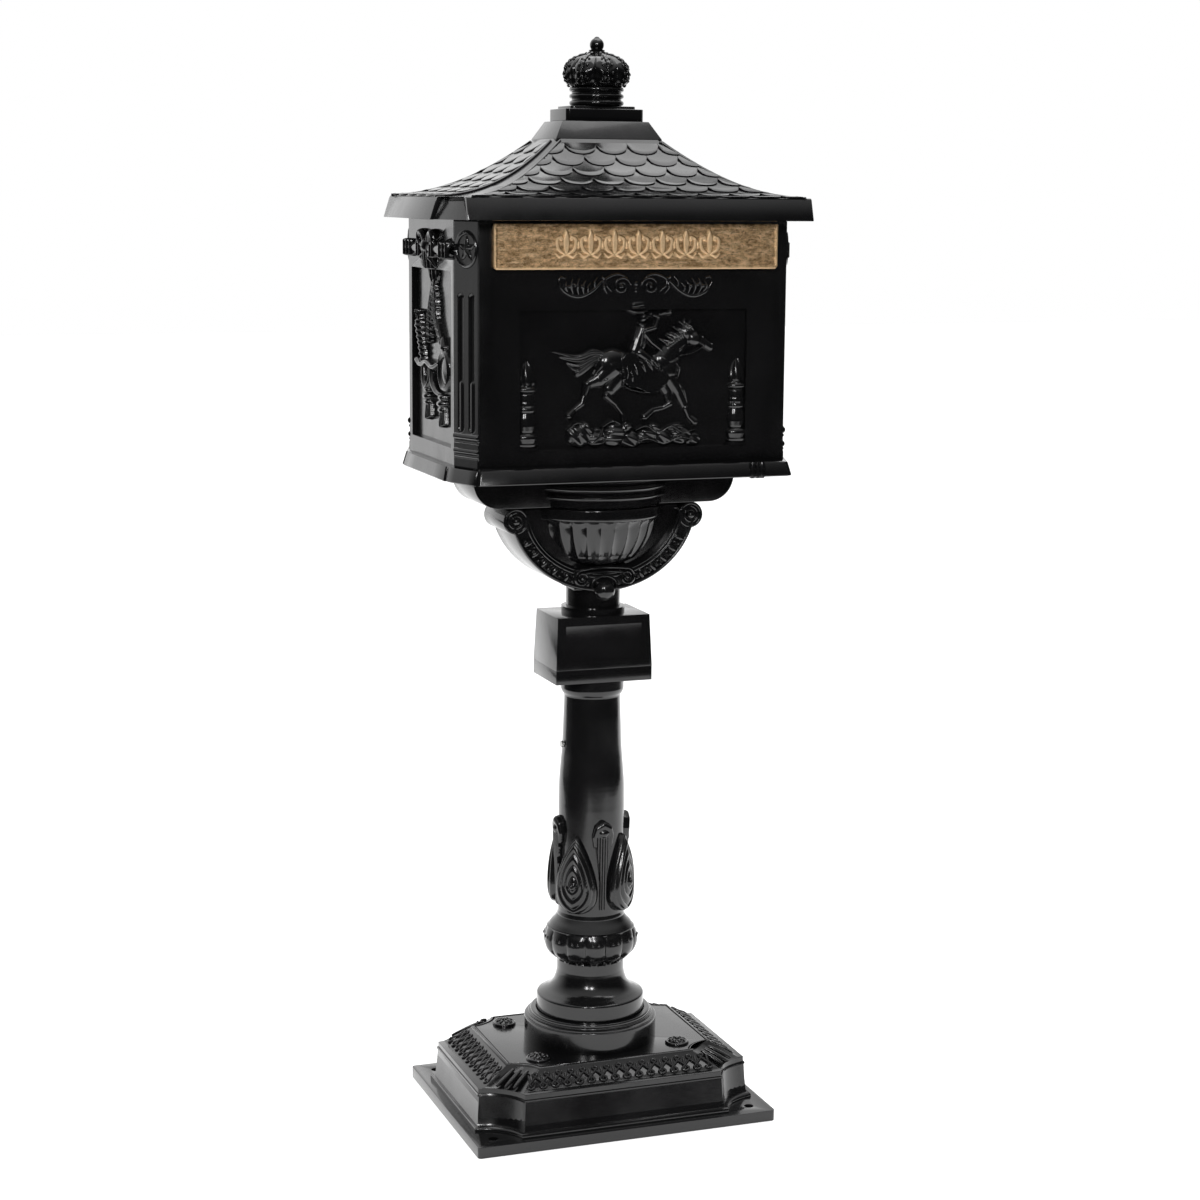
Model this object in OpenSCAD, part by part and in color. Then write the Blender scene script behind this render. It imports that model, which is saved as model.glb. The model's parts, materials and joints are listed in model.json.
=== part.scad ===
// Pedestal letter box of cast panels: a stepped base, a turned post, a scrolled bracket,
// a panelled box with a hinged brass flap and a rear door, and a shingled roof with a crown.
// The front faces -Y, +X is to the right and +Z is up. Origin: centre of the base's underside.

/* [Base] */
// Width of the base plate
base_w = 336; // [320:1:400]
// Depth of the base plate
base_d = 258; // [245:1:320]
// Thickness of the base plate
base_t = 12; // [8:0.5:20]
// Radius of the plate's corners
base_corner_r = 4; // [2:0.5:8]
// Radius of each anchor bolt hole
anchor_r = 5; // [3:0.5:7]
// Distance from an anchor hole to the plate's left or right edge
anchor_edge_x = 22.5; // [18:0.5:28]
// Distance from an anchor hole to the plate's front or rear edge
anchor_edge_y = 20.5; // [16:0.5:26]
// Margin of bare plate around the hollow plinth
plinth_margin = 14; // [12:0.5:24]
// Height of the plinth's upright wall
plinth_h = 37; // [25:1:60]
// How far each plinth wall leans in over its height
plinth_lean = 2; // [0:0.5:5]
// Height of the lip moulding above the wall
lip_h = 7.5; // [4:0.5:12]
// Height of the sloping fluted band
band_h = 18.5; // [10:0.5:30]
// How far the lip stands outside the foot of the band
lip_step = 7; // [4:0.5:12]
// Width of the flat top on the base
plateau_w = 230; // [200:1:260]
// Depth of the flat top on the base
plateau_d = 169; // [150:1:190]
// Thickness of the base casting's walls
base_wall = 6; // [4:0.5:8]
// Radius of each corner rosette
rosette_r = 13; // [9:0.5:15]
// Thickness of each corner rosette
rosette_t = 2.5; // [1.5:0.5:4]

/* [Post] */
// Outer radius of the socket ring
socket_r = 72.3; // [68:0.1:74]
// Height of the socket ring
socket_h = 32; // [24:1:44]
// Depth of the recess that takes the post's foot
socket_recess = 7; // [4:0.5:12]
// Radius of the post's foot disc
foot_r = 58.6; // [54:0.1:60]
// Radial gap between the foot disc and its recess
foot_gap = 0.8; // [0.3:0.1:1.2]
// Height of the foot above the socket ring
foot_h = 54; // [44:1:70]
// Radius of the neck between foot and knop
neck_r = 36.7; // [33:0.1:40]
// Height of the knop
knop_h = 52.5; // [40:0.5:64]
// Largest radius of the knop
knop_r = 51.7; // [46:0.1:58]
// Height of the shaft
shaft_h = 263.5; // [230:0.5:420]
// Radius of the shaft at its foot
shaft_r = 35.8; // [33:0.1:38]
// Radius of the shaft at its top
shaft_top_r = 30.4; // [27:0.1:33]
// Height at which the leaf collar ends above the shaft's foot
collar_h = 111; // [80:1:140]
// Largest radius of the leaf collar
collar_r = 46.6; // [42:0.1:52]
// Wall of the turned castings
post_wall = 5; // [4:0.25:7]
// Height of the set screw above the shaft's foot
set_screw_z = 191; // [150:1:215]
// Radius of the tie rod
rod_r = 6; // [4:0.5:8]
// Gap around the tie rod in every hole
rod_gap = 0.5; // [0.3:0.1:1]

/* [Block and bracket] */
// Width of the block at its foot
block_w = 108; // [96:1:124]
// Depth of the block at its foot
block_d = 76; // [72:1:92]
// Height of the block's separate lower strip
block_cap_h = 15; // [10:1:20]
// Height of the block above that strip
block_h = 56; // [44:1:72]
// How far each side of the block leans in
block_lean = 2.4; // [0:0.2:5]
// Depth of the sunk fields in the front and back of the block
block_field = 1; // [0.5:0.25:2]
// Height of the round neck on the block
neck_h = 27; // [20:1:40]
// Radius of that neck
bracket_neck_r = 29; // [26:0.5:32]
// Height of the scrolled bracket
bracket_h = 92; // [84:1:104]
// Half of the arch's span at its top
arch_a = 104; // [98:1:112]
// Depth of the bracket, front to back
bracket_d = 68; // [60:1:74]
// Radius of each end scroll
scroll_r = 14; // [11:0.5:16]
// Radius of the urn's rim
urn_r = 74; // [70:0.5:78]
// Height of the beam that carries the box
beam_h = 36; // [28:1:44]
// Half of the beam's length at its underside
beam_foot = 117; // [108:1:124]
// Radius of the cove at each end of the beam
cove_r = 28; // [20:1:30]
// Depth of the beam, front to back
beam_d = 78; // [72:1:96]

/* [Box] */
// Width of the box
box_w = 358.4; // [340:0.1:440]
// Depth of the box
box_d = 241.4; // [220:0.1:300]
// Height of the box's panels
box_h = 246; // [220:1:320]
// Thickness of the panels
wall = 4; // [3:0.25:5]
// Width of a corner's cut along the front
corner_x = 14.4; // [12:0.1:18]
// Width of a corner's cut along the side
corner_y = 38.3; // [34:0.1:44]
// Depth of the sunk field in a panel
field_depth = 5.6; // [3:0.1:6]
// Bare margin beside the front field
front_field_edge = 42.8; // [36:0.1:60]
// Bare margin beside the side field
side_field_edge = 10.4; // [10.2:0.1:20]
// Height of the front field above the panel's foot
field_foot = 18; // [14:0.5:26]
// Height of the front field
front_field_h = 139.5; // [120:0.5:144]
// Height of the side field
side_field_h = 177; // [150:1:190]
// Overhang of the ledge beyond the box
ledge_out = 9.4; // [6:0.2:14]
// Height of the ledge
ledge_h = 15; // [12:0.5:22]
// Width of the lap where a corner strip backs a panel
lap = 6.2; // [6.1:0.05:6.3]
// Radius of the panel screws
screw_r = 2; // [1.5:0.1:2.2]

/* [Flap] */
// Width of the letter flap
flap_w = 303.6; // [270:0.1:310]
// Height of the letter flap
flap_h = 45.2; // [38:0.2:50]
// Gap between the flap and the eave
flap_top_gap = 3; // [2.6:0.1:5]
// Thickness of the flap's plate
flap_t = 2; // [1.5:0.1:2.2]
// Gap between the closed flap and the panel
flap_gap = 0.4; // [0.3:0.1:0.6]
// Thickness of the flap's side returns
return_t = 3; // [2.5:0.1:4]
// Radius of the flap's pins
flap_pin_r = 1.5; // [1.2:0.1:1.6]
// Radius of the lugs that carry the pins
lug_r = 2.4; // [2.3:0.05:2.6]
// Width of each lug
lug_w = 5.8; // [4:0.2:8]
// Height of the letter slot
slot_h = 22; // [16:0.5:24]
// Running clearance of every pin in its bore
pin_gap = 0.06; // [0.02:0.01:0.09]

/* [Rear door and lock] */
// Width of the rear opening
door_w = 272; // [220:1:290]
// Height of the rear opening
door_h = 192; // [160:1:204]
// Height of the opening above the panel's foot
door_foot = 20; // [14:1:28]
// Gap around the door
door_gap = 0.8; // [0.5:0.1:1.2]
// Radius of the hinge knuckles
knuckle_r = 2.8; // [2.6:0.05:2.9]
// Radius of the hinge pins
hinge_pin_r = 1.5; // [1.2:0.1:1.6]
// Length of each knuckle
knuckle_l = 12; // [8:1:20]
// Distance of the lock from the opening's edge
lock_edge = 17; // [15.5:0.5:22]
// Radius of the lock's barrel
barrel_r = 8; // [7:0.5:9]
// Radius of the lock's plug
plug_r = 5; // [4:0.25:5.5]
// Reach of the cam from the lock's axis
cam_reach = 26; // [24:0.5:30]

/* [Roof and finial] */
// Overhang of the eave beyond the box
eave_out = 26; // [20:0.5:36]
// Height of the eave's fascia
eave_h = 22.5; // [16:0.5:30]
// How far the fascia leans in
eave_lean = 6.9; // [3:0.1:10]
// Height of the curved roof
roof_h = 58.5; // [45:0.5:90]
// Width of the roof's top seat
seat_w = 115.6; // [100:0.2:124]
// Depth of the roof's top seat
seat_d = 80.4; // [70:0.2:88]
// Height of the seat under the finial
seat_h = 18.5; // [12:0.5:26]
// How far the seat leans in
seat_lean = 10.8; // [6:0.2:12]
// Thickness of the roof casting
roof_wall = 4.5; // [3.5:0.25:6]
// Width of the finial's plinth
finial_w = 84.4; // [76:0.2:88]
// Depth of the finial's plinth
finial_d = 56.2; // [52:0.2:58]
// Height of the finial's plinth
finial_h = 12.5; // [8:0.5:18]
// Height of the thin step on the plinth
finial_step_h = 3; // [2:0.5:5]
// Radius of the finial's ringed neck
finial_neck_r = 28.4; // [24:0.2:30]
// Height of the ringed neck
finial_neck_h = 20.5; // [14:0.5:28]
// Largest radius of the crown
crown_r = 36.3; // [32:0.1:40]
// Height of the crown with its ball
crown_h = 50.5; // [42:0.5:64]

/* [Hidden] */
$fn = 64;
eps = 0.01;
// How deep a casting's upper part starts in the part below it
sink = 1;
black = "#1c1c1e";
brass = "#b0905c";
steel = "#a8a8a8";

// Levels, from the floor up
plinth_top = base_t + plinth_h;
lip_top = plinth_top + lip_h;
plateau_z = lip_top + band_h;
socket_top = plateau_z + socket_h;
foot_z = socket_top - socket_recess;
foot_top = socket_top + foot_h;
knop_top = foot_top + knop_h;
shaft_top = knop_top + shaft_h;
cap_top = shaft_top + block_cap_h;
block_top = cap_top + block_h;
bracket_z = block_top + neck_h;
beam_z = bracket_z + bracket_h;
ledge_z = beam_z + beam_h;
box_z = ledge_z + ledge_h;
box_top = box_z + box_h;
eave_top = box_top + eave_h;
roof_top = eave_top + roof_h;
seat_top = roof_top + seat_h;
plinth_step_z = seat_top + finial_h;
finial_neck_z = plinth_step_z + finial_step_h;
crown_z = finial_neck_z + finial_neck_h;

// Half sizes of the base's steps
plinth_x = base_w/2 - plinth_margin;
plinth_y = base_d/2 - plinth_margin;
lip_x = plinth_x - plinth_lean;
lip_y = plinth_y - plinth_lean - 2;
plinth_scoop = [41, 35];
band_scoop = [34, 28];
plateau_scoop = [29, 22];

// Half sizes of the box and where its parts lie
half_x = box_w/2;
half_y = box_d/2;
flat_x = half_x - corner_x;
flat_y = half_y - corner_y;
field_wall = wall + field_depth;
tab_t = 4;
tab_inset_x = 19;
tab_inset_y = 23;
boss_r = 6;
fastener_levels = [42, 150, 205];
ledge_corner = [17.4, 51.3];
eave_corner = [20.4, 56.4];
pan_floor = 4;
pan_rim = 16;

// Pivot of the flap and the levels of the flap and the slot
flap_top = box_top - flap_top_gap;
flap_front = half_y + 7.8;
flap_axis_y = -(half_y + 2.9);
flap_axis_z = flap_top - 3.5;
lug_x = flap_w/2 - return_t - 0.4 - lug_w;
slot_w = 2*lug_x - 5;
slot_z = flap_top - flap_h + 9;
return_back = -flap_axis_y - half_y - flap_gap;

// Rear door
door_z = box_z + door_foot;
door_proud = 0.4;
hinge_x = -(door_w/2 + 3);
hinge_y = half_y + 3;
hinge_levels = [door_z + 36, door_z + door_h - 36];
knuckle_gap = 0.3;
lock_x = door_w/2 - lock_edge;
lock_z = door_z + door_h/2;
door_inner = half_y + door_proud - wall;

// Tie rod and the bolts under the box
rod_nut_h = 9;
washer_t = 2.5;
washer_r = 15;
rod_top = ledge_z + pan_floor + washer_t + rod_nut_h + 3;
rod_foot = plateau_z - base_wall - washer_t - rod_nut_h - 3;
bolt_r = 4;
bolt_x = 92;
bolt_y = 24;
beam_wall = 6;

// Set screw in the shaft: its radius and the gap under its head
set_screw_r = 2;
set_screw_stand = 1;

// ---- shared outlines and helpers ----

// One corner of an outline, cut by a curve that bends inwards
function scoop(hx, hy, cut, n = 8) = [for (i = [0:n]) let (t = i/n, a = (1 - t)*(1 - t),
    b = 2*t*(1 - t), c = t*t)
    [a*hx + b*(hx - 0.78*cut[0]) + c*(hx - cut[0]),
     a*(hy - cut[1]) + b*(hy - 0.78*cut[1]) + c*hy]];
function flip(list) = [for (i = [len(list) - 1:-1:0]) list[i]];
function turn(list, sx, sy) = [for (p = list) [sx*p[0], sy*p[1]]];
function scooped(hx, hy, cut) = let (q = scoop(hx, hy, cut)) concat(
    q, flip(turn(q, -1, 1)), turn(q, -1, -1), flip(turn(q, 1, -1)));
// Rectangle with straight cuts across its corners
function cut_box(hx, hy, cut) = let (q = [[hx, hy - cut[1]], [hx - cut[0], hy]]) concat(
    q, flip(turn(q, -1, 1)), turn(q, -1, -1), flip(turn(q, 1, -1)));
// Wall of constant thickness inside a turned profile
function shell(outer, t) = concat(outer, flip([for (p = outer) [p[0] - t, p[1]]]));

// Solid skinned over outlines of equally many points, each given with its level
module loft(rings) {
    n = len(rings[0][0]);
    last = len(rings) - 1;
    polyhedron(
        [for (ring = rings, p = ring[0]) [p[0], p[1], ring[1]]],
        concat([[for (i = [0:n - 1]) i]], [[for (i = [n - 1:-1:0]) last*n + i]],
            [for (k = [0:last - 1], i = [0:n - 1]) let (j = (i + 1) % n)
                [k*n + i, (k + 1)*n + i, (k + 1)*n + j, k*n + j]]));
}

module slab(points, z0, z1) {
    translate([0, 0, z0]) linear_extrude(z1 - z0) polygon(points);
}

module block(x0, x1, y0, y1, z0, z1) {
    translate([x0, y0, z0]) cube([x1 - x0, y1 - y0, z1 - z0]);
}

module centred(w, d, z0, z1) {
    block(-w/2, w/2, -d/2, d/2, z0, z1);
}

module rod_hole(z0, z1) {
    translate([0, 0, z0]) cylinder(r = rod_r + rod_gap, h = z1 - z0);
}

module four(x, y) {
    for (sx = [-1, 1], sy = [-1, 1]) translate([sx*x, sy*y, 0]) children();
}

module hex_nut(flat_r, hole_r, h) {
    difference() {
        cylinder(r = flat_r/cos(30), h = h, $fn = 6);
        translate([0, 0, -1]) cylinder(r = hole_r, h = h + 2);
    }
}

// Cylinder along Y between two distances
module along_y(r, y0, y1) {
    translate([0, y0, 0]) rotate([-90, 0, 0]) cylinder(r = r, h = y1 - y0);
}

module along_x(r, x0, x1) {
    translate([x0, 0, 0]) rotate([0, 90, 0]) cylinder(r = r, h = x1 - x0);
}

// ---- base and post ----

module base_casting() {
    color(black) difference() {
        union() {
            linear_extrude(base_t) rounded_plate();
            loft([
                [scooped(plinth_x, plinth_y, plinth_scoop), base_t - sink],
                [scooped(lip_x, plinth_y - plinth_lean, plinth_scoop), plinth_top],
                [scooped(lip_x, lip_y, plinth_scoop), plinth_top + 0.5],
                [scooped(lip_x, lip_y, plinth_scoop), lip_top],
                [scooped(lip_x - lip_step, lip_y - lip_step, band_scoop), lip_top + 0.5],
                [scooped(plateau_w/2, plateau_d/2, plateau_scoop), plateau_z]]);
        }
        slab(scooped(lip_x - base_wall, lip_y - base_wall, plinth_scoop), -1,
            plinth_top - base_wall);
        slab(scooped(plateau_w/2 - base_wall, plateau_d/2 - base_wall, plateau_scoop), 0,
            plateau_z - base_wall);
        rod_hole(0, plateau_z + 1);
        four(base_w/2 - anchor_edge_x, base_d/2 - anchor_edge_y)
            translate([0, 0, -1]) cylinder(r = anchor_r, h = base_t + plinth_h/2);
    }
}

module rounded_plate() {
    inner_w = base_w - 2*base_corner_r;
    inner_d = base_d - 2*base_corner_r;
    square([inner_w, base_d], center = true);
    square([base_w, inner_d], center = true);
    for (sx = [-1, 1], sy = [-1, 1]) translate([sx*inner_w/2, sy*inner_d/2])
        circle(r = base_corner_r);
}

module base_rosettes() {
    color(black) four(plateau_w/2 - 35, plateau_d/2 - 25) translate([0, 0, plateau_z])
        rotate_extrude() polygon([[0, 0], [rosette_r, 0], [rosette_r, rosette_t - 1],
            [rosette_r - 1.5, rosette_t], [0, rosette_t]]);
}

module socket_ring() {
    recess_r = foot_r + foot_gap;
    color(black) difference() {
        translate([0, 0, plateau_z]) rotate_extrude($fn = 96) polygon([
            [rod_r + rod_gap, socket_h - socket_recess - 5],
            [socket_r - 8, socket_h - socket_recess - 5],
            [socket_r - 8, 0], [socket_r, 0], [socket_r, socket_h - 8.2],
            [socket_r - 1, socket_h - 7.8], [socket_r - 1, socket_h - 6.4],
            [socket_r - 5.6, socket_h - 4], [socket_r - 6, socket_h - 2.6],
            [socket_r - 9.6, socket_h], [recess_r, socket_h], [recess_r, socket_h - socket_recess],
            [rod_r + rod_gap, socket_h - socket_recess]]);
    }
}

module post_foot() {
    rise = foot_top - foot_z;
    color(black) translate([0, 0, foot_z]) rotate_extrude($fn = 96) polygon(shell([
        [foot_r - 1, 0], [foot_r, 1], [foot_r, socket_recess + 17], [foot_r - 1.2, socket_recess + 18.4],
        [foot_r - 7, socket_recess + 21], [neck_r + 8.6, socket_recess + 25],
        [neck_r + 3.8, socket_recess + 31], [neck_r + 1, socket_recess + 39],
        [neck_r, socket_recess + 46], [neck_r, rise]], post_wall));
}

module post_knop() {
    color(black) translate([0, 0, foot_top]) rotate_extrude($fn = 96) polygon(shell([
        [neck_r, 0], [neck_r + 1, 3.4], [neck_r + 8, knop_h*0.26], [knop_r - 1, knop_h*0.44],
        [knop_r, knop_h*0.54], [knop_r - 1.4, knop_h*0.66], [knop_r - 6, knop_h*0.82],
        [neck_r + 3, knop_h*0.95], [neck_r, knop_h]], post_wall));
}

// Plain part of the shaft, as heights above its foot and radii
shaft_taper = [[shaft_h*0.44, shaft_r], [shaft_h*0.56, shaft_r - 0.4], [shaft_h*0.65, shaft_r - 2.2],
    [shaft_h*0.72, shaft_top_r + 1.8], [shaft_h - 26, shaft_top_r]];
function shaft_radius(z) = lookup(z, shaft_taper);

module post_shaft() {
    taper = [for (p = shaft_taper) [p[1], p[0]]];
    color(black) translate([0, 0, knop_top]) difference() {
        rotate_extrude($fn = 96) polygon(shell(concat(
            [[neck_r, 0], [neck_r, 2], [shaft_r, 4]], taper,
            [[shaft_top_r - 0.2, shaft_h - 19.5], [shaft_top_r + 3.6, shaft_h - 12],
            [shaft_top_r + 3.6, shaft_h]]), post_wall));
        translate([0, 0, set_screw_z])
            along_x(set_screw_r, -shaft_r - 1, -shaft_radius(set_screw_z) + post_wall + 3);
    }
}

module acanthus_collar() {
    color(black) translate([0, 0, knop_top + 8]) rotate_extrude($fn = 96) polygon([
        [shaft_r, 0], [shaft_r + 1.5, 2], [shaft_r + 4.5, collar_h*0.12],
        [collar_r, collar_h*0.32], [collar_r - 1.5, collar_h*0.45], [shaft_r + 3.4, collar_h*0.78],
        [shaft_r + 7.1, collar_h*0.86], [shaft_r + 5.5, collar_h*0.91], [shaft_r, collar_h*0.93]]);
}

module shaft_set_screw() {
    head_x = -shaft_radius(set_screw_z) - set_screw_stand;
    color(steel) translate([0, 0, knop_top + set_screw_z]) union() {
        along_x(set_screw_r, head_x, head_x + set_screw_stand + post_wall);
        along_x(set_screw_r + 1.6, head_x - 2.2, head_x);
    }
}

module block_cap() {
    color(black) difference() {
        centred(block_w, block_d, shaft_top, cap_top);
        centred(block_w - 2*base_wall, block_d - 2*base_wall, shaft_top + base_wall, cap_top + 1);
        rod_hole(shaft_top - 1, cap_top);
    }
}

module block_casting() {
    lean = 2*block_lean;
    color(black) difference() {
        hull() {
            centred(block_w, block_d, cap_top, cap_top + eps);
            centred(block_w - lean, block_d - lean, block_top - eps, block_top);
        }
        centred(block_w - lean - 2*base_wall, block_d - lean - 2*base_wall, cap_top - 1,
            block_top - base_wall);
        for (s = [-1, 1]) block_field_cut(s);
        rod_hole(cap_top, block_top + 1);
    }
}

module block_field_cut(s) {
    edge = 9;
    hull() for (z = [cap_top + edge, block_top - edge]) {
        face_y = s*(block_d/2 - block_lean*(z - cap_top)/(block_top - cap_top));
        block(-block_w/2 + edge + block_lean, block_w/2 - edge - block_lean,
            face_y - block_field, face_y + block_field, z - eps, z + eps);
    }
}

module neck_collar() {
    color(black) translate([0, 0, block_top]) rotate_extrude() polygon(shell([
        [bracket_neck_r + 5, 0], [bracket_neck_r + 5, 7], [bracket_neck_r, 7.5],
        [bracket_neck_r, neck_h]], post_wall));
}

// ---- bracket under the box ----

// Lower half of an ellipse, from its right end to its left end
function arch(a, b, n = 24) = [for (i = [0:n]) [a*cos(180*i/n), -b*sin(180*i/n)]];

module upright(d, z) {
    translate([0, d/2, z]) rotate([90, 0, 0]) linear_extrude(d) children();
}

function urn_profile() = [[0, 0], [urn_r*0.3, 0], [urn_r*0.45, bracket_h*0.09],
    [urn_r*0.62, bracket_h*0.23], [urn_r*0.8, bracket_h*0.42], [urn_r*0.9, bracket_h*0.6],
    [urn_r - 4, bracket_h*0.62], [urn_r, bracket_h*0.66], [urn_r, bracket_h*0.75], [0, bracket_h*0.75]];

module scroll_bracket() {
    urn_z = beam_z - bracket_h*0.75;
    inner_a = arch_a - base_wall;
    color(black) difference() {
        union() {
            upright(bracket_d, beam_z) bracket_outline();
            translate([0, 0, urn_z]) rotate_extrude($fn = 96) polygon(urn_profile());
        }
        upright(bracket_d - 2*base_wall, beam_z + eps) polygon(arch(inner_a, bracket_h - base_wall));
        translate([0, 0, beam_z - bracket_h*0.3])
            cylinder(r1 = urn_r*0.8 - base_wall, r2 = urn_r - 10, h = bracket_h);
        rod_hole(bracket_z - 1, beam_z);
    }
}

module bracket_outline() {
    polygon(arch(arch_a, bracket_h));
    for (s = [-1, 1]) translate([s*(arch_a - scroll_r + 7.6), -scroll_r]) circle(r = scroll_r);
    translate([-bracket_neck_r, -bracket_h]) square([2*bracket_neck_r, 10]);
}

module bracket_beam() {
    top = beam_foot + cove_r;
    color(black) difference() {
        union() {
            upright(beam_d, beam_z) difference() {
                translate([-top, 0]) square([2*top, beam_h]);
                for (s = [-1, 1]) translate([s*top, 0]) circle(r = cove_r*0.75);
            }
            translate([0, 0, beam_z]) rotate_extrude($fn = 96) polygon([[0, 0], [urn_r - 0.5, 0],
                [urn_r - 0.5, beam_h*0.33], [urn_r + 4, beam_h*0.55], [urn_r + 4, beam_h*0.75],
                [urn_r - 4, beam_h], [0, beam_h]]);
        }
        centred(2*beam_foot - 12, beam_d - 2*beam_wall, beam_z - 1, ledge_z - beam_wall);
        translate([0, 0, beam_z - 1]) cylinder(r = urn_r - 10, h = beam_h - beam_wall + 1);
        rod_hole(beam_z, ledge_z + 1);
        four(bolt_x, bolt_y) translate([0, 0, beam_z]) cylinder(r = bolt_r, h = beam_h + 1);
    }
}

module tie_rod() {
    color(steel) translate([0, 0, rod_foot]) cylinder(r = rod_r, h = rod_top - rod_foot);
}

module tie_rod_washers() {
    color(steel) for (z = [plateau_z - base_wall - washer_t, ledge_z + pan_floor])
        translate([0, 0, z]) difference() {
            cylinder(r = washer_r, h = washer_t);
            translate([0, 0, -1]) cylinder(r = rod_r, h = washer_t + 2);
        }
}

module tie_rod_nuts() {
    color(steel) for (z = [plateau_z - base_wall - washer_t - rod_nut_h,
        ledge_z + pan_floor + washer_t])
        translate([0, 0, z]) hex_nut(9.5, rod_r, rod_nut_h);
}

module bracket_bolts() {
    head_z = ledge_z + pan_floor;
    color(steel) four(bolt_x, bolt_y) union() {
        translate([0, 0, head_z]) cylinder(r = 6.5/cos(30), h = 5, $fn = 6);
        translate([0, 0, ledge_z - beam_wall - 9]) cylinder(r = bolt_r, h = beam_wall + pan_floor + 9);
    }
}

module bracket_nuts() {
    color(steel) four(bolt_x, bolt_y) translate([0, 0, ledge_z - beam_wall - 6.5])
        hex_nut(6.5, bolt_r, 6.5);
}

// ---- box ----

module floor_pan() {
    outer = cut_box(half_x + ledge_out, half_y + ledge_out + 0.9, ledge_corner);
    inner = cut_box(half_x + ledge_out - pan_rim, half_y + ledge_out - pan_rim, ledge_corner);
    color(black) difference() {
        union() {
            difference() {
                slab(outer, ledge_z, box_z);
                slab(inner, ledge_z + pan_floor, box_z + 1);
            }
            four(half_x - tab_inset_x, half_y - tab_inset_y) translate([0, 0, ledge_z])
                cylinder(r = boss_r, h = ledge_h);
        }
        four(half_x - tab_inset_x, half_y - tab_inset_y) translate([0, 0, box_z - 8])
            cylinder(r = screw_r, h = 9);
        rod_hole(ledge_z - 1, box_z);
        four(bolt_x, bolt_y) translate([0, 0, ledge_z - 1]) cylinder(r = bolt_r, h = ledge_h);
    }
}

module front_panel() {
    field_x = half_x - front_field_edge - corner_x;
    color(black) difference() {
        union() {
            block(-flat_x, flat_x, -half_y, -half_y + wall, box_z, box_top);
            block(-field_x - wall, field_x + wall, -half_y, -half_y + field_wall,
                box_z + field_foot - wall, box_z + field_foot + front_field_h + wall);
            for (s = [-1, 1]) translate([s*(lug_x + lug_w/2), 0, flap_axis_z]) flap_lug();
        }
        block(-field_x, field_x, -half_y - 1, -half_y + field_depth, box_z + field_foot,
            box_z + field_foot + front_field_h);
        block(-slot_w/2, slot_w/2, -half_y - 1, -half_y + wall + 1, slot_z, slot_z + slot_h);
        for (s = [-1, 1]) translate([s*(lug_x + lug_w/2), flap_axis_y, flap_axis_z])
            along_x(flap_pin_r + pin_gap, -lug_w, lug_w);
        for (s = [-1, 1], z = fastener_levels) translate([s*(flat_x - lap/2), 0, box_z + z])
            along_y(screw_r, -half_y + 1, -half_y + wall + 1);
    }
}

module flap_lug() {
    translate([0, flap_axis_y, 0]) along_x(lug_r, -lug_w/2, lug_w/2);
    block(-lug_w/2, lug_w/2, flap_axis_y, -half_y + eps, -lug_r + 0.2, lug_r - 0.2);
}

// The thick part behind the field stays inside the laps of the corner strips
module side_panel() {
    field_y = flat_y - max(side_field_edge, lap + wall);
    difference() {
        union() {
            block(half_x - wall, half_x, -flat_y, flat_y, box_z, box_top);
            block(half_x - field_wall, half_x, -field_y - wall, field_y + wall,
                box_z + field_foot - wall, box_z + field_foot + side_field_h + wall);
        }
        block(half_x - field_depth, half_x + 1, -field_y, field_y, box_z + field_foot,
            box_z + field_foot + side_field_h);
        for (s = [-1, 1], z = fastener_levels) translate([0, s*(flat_y - lap/2), box_z + z])
            along_x(screw_r, half_x - wall - 1, half_x - 1);
    }
}

module left_panel() {
    color(black) mirror([1, 0, 0]) side_panel();
}

module right_panel() {
    color(black) side_panel();
}

module rear_frame() {
    color(black) difference() {
        union() {
            block(-flat_x, flat_x, half_y - wall, half_y, box_z, box_top);
            for (z = hinge_levels, s = [-1, 1]) translate([hinge_x, hinge_y, z
                + s*(knuckle_l + knuckle_gap) - knuckle_l/2]) frame_knuckle();
        }
        block(-door_w/2, door_w/2, half_y - wall - 1, half_y + 1, door_z, door_z + door_h);
        for (z = hinge_levels) translate([hinge_x, hinge_y, z - 2*knuckle_l])
            cylinder(r = hinge_pin_r, h = 4*knuckle_l);
        for (s = [-1, 1], z = fastener_levels) translate([s*(flat_x - lap/2), 0, box_z + z])
            along_y(screw_r, half_y - wall - 1, half_y - 1);
    }
}

module frame_knuckle() {
    cylinder(r = knuckle_r, h = knuckle_l);
    block(-9, 0, -3 - eps, -1, 0, knuckle_l);
}

module rear_door() {
    door_x = door_w/2 - door_gap;
    low = door_z + door_gap;
    high = door_z + door_h - door_gap;
    y1 = half_y + door_proud;
    color(black) difference() {
        union() {
            block(-door_x, door_x, y1 - wall, y1, low, high);
            block(-door_x + 14, door_x - 34, y1 - eps, y1 + 1.5, low + 14, high - 14);
            for (z = hinge_levels) translate([hinge_x, hinge_y, z - knuckle_l/2]) door_knuckle();
        }
        for (z = hinge_levels) translate([hinge_x, hinge_y, z - knuckle_l])
            cylinder(r = hinge_pin_r + pin_gap, h = 2*knuckle_l);
        translate([lock_x, 0, lock_z]) along_y(barrel_r, y1 - wall - 1, y1 + 1);
    }
}

module door_knuckle() {
    cylinder(r = knuckle_r, h = knuckle_l);
    block(0, 13, door_proud - 3 - eps, -0.6, 0, knuckle_l);
}

module door_hinge_pins() {
    reach = 1.5*knuckle_l + knuckle_gap;
    color(steel) for (z = hinge_levels) translate([hinge_x, hinge_y, z]) union() {
        translate([0, 0, -reach]) cylinder(r = hinge_pin_r, h = 2*reach);
        translate([0, 0, reach]) cylinder(r = hinge_pin_r + 1, h = 1.5);
    }
}

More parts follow.
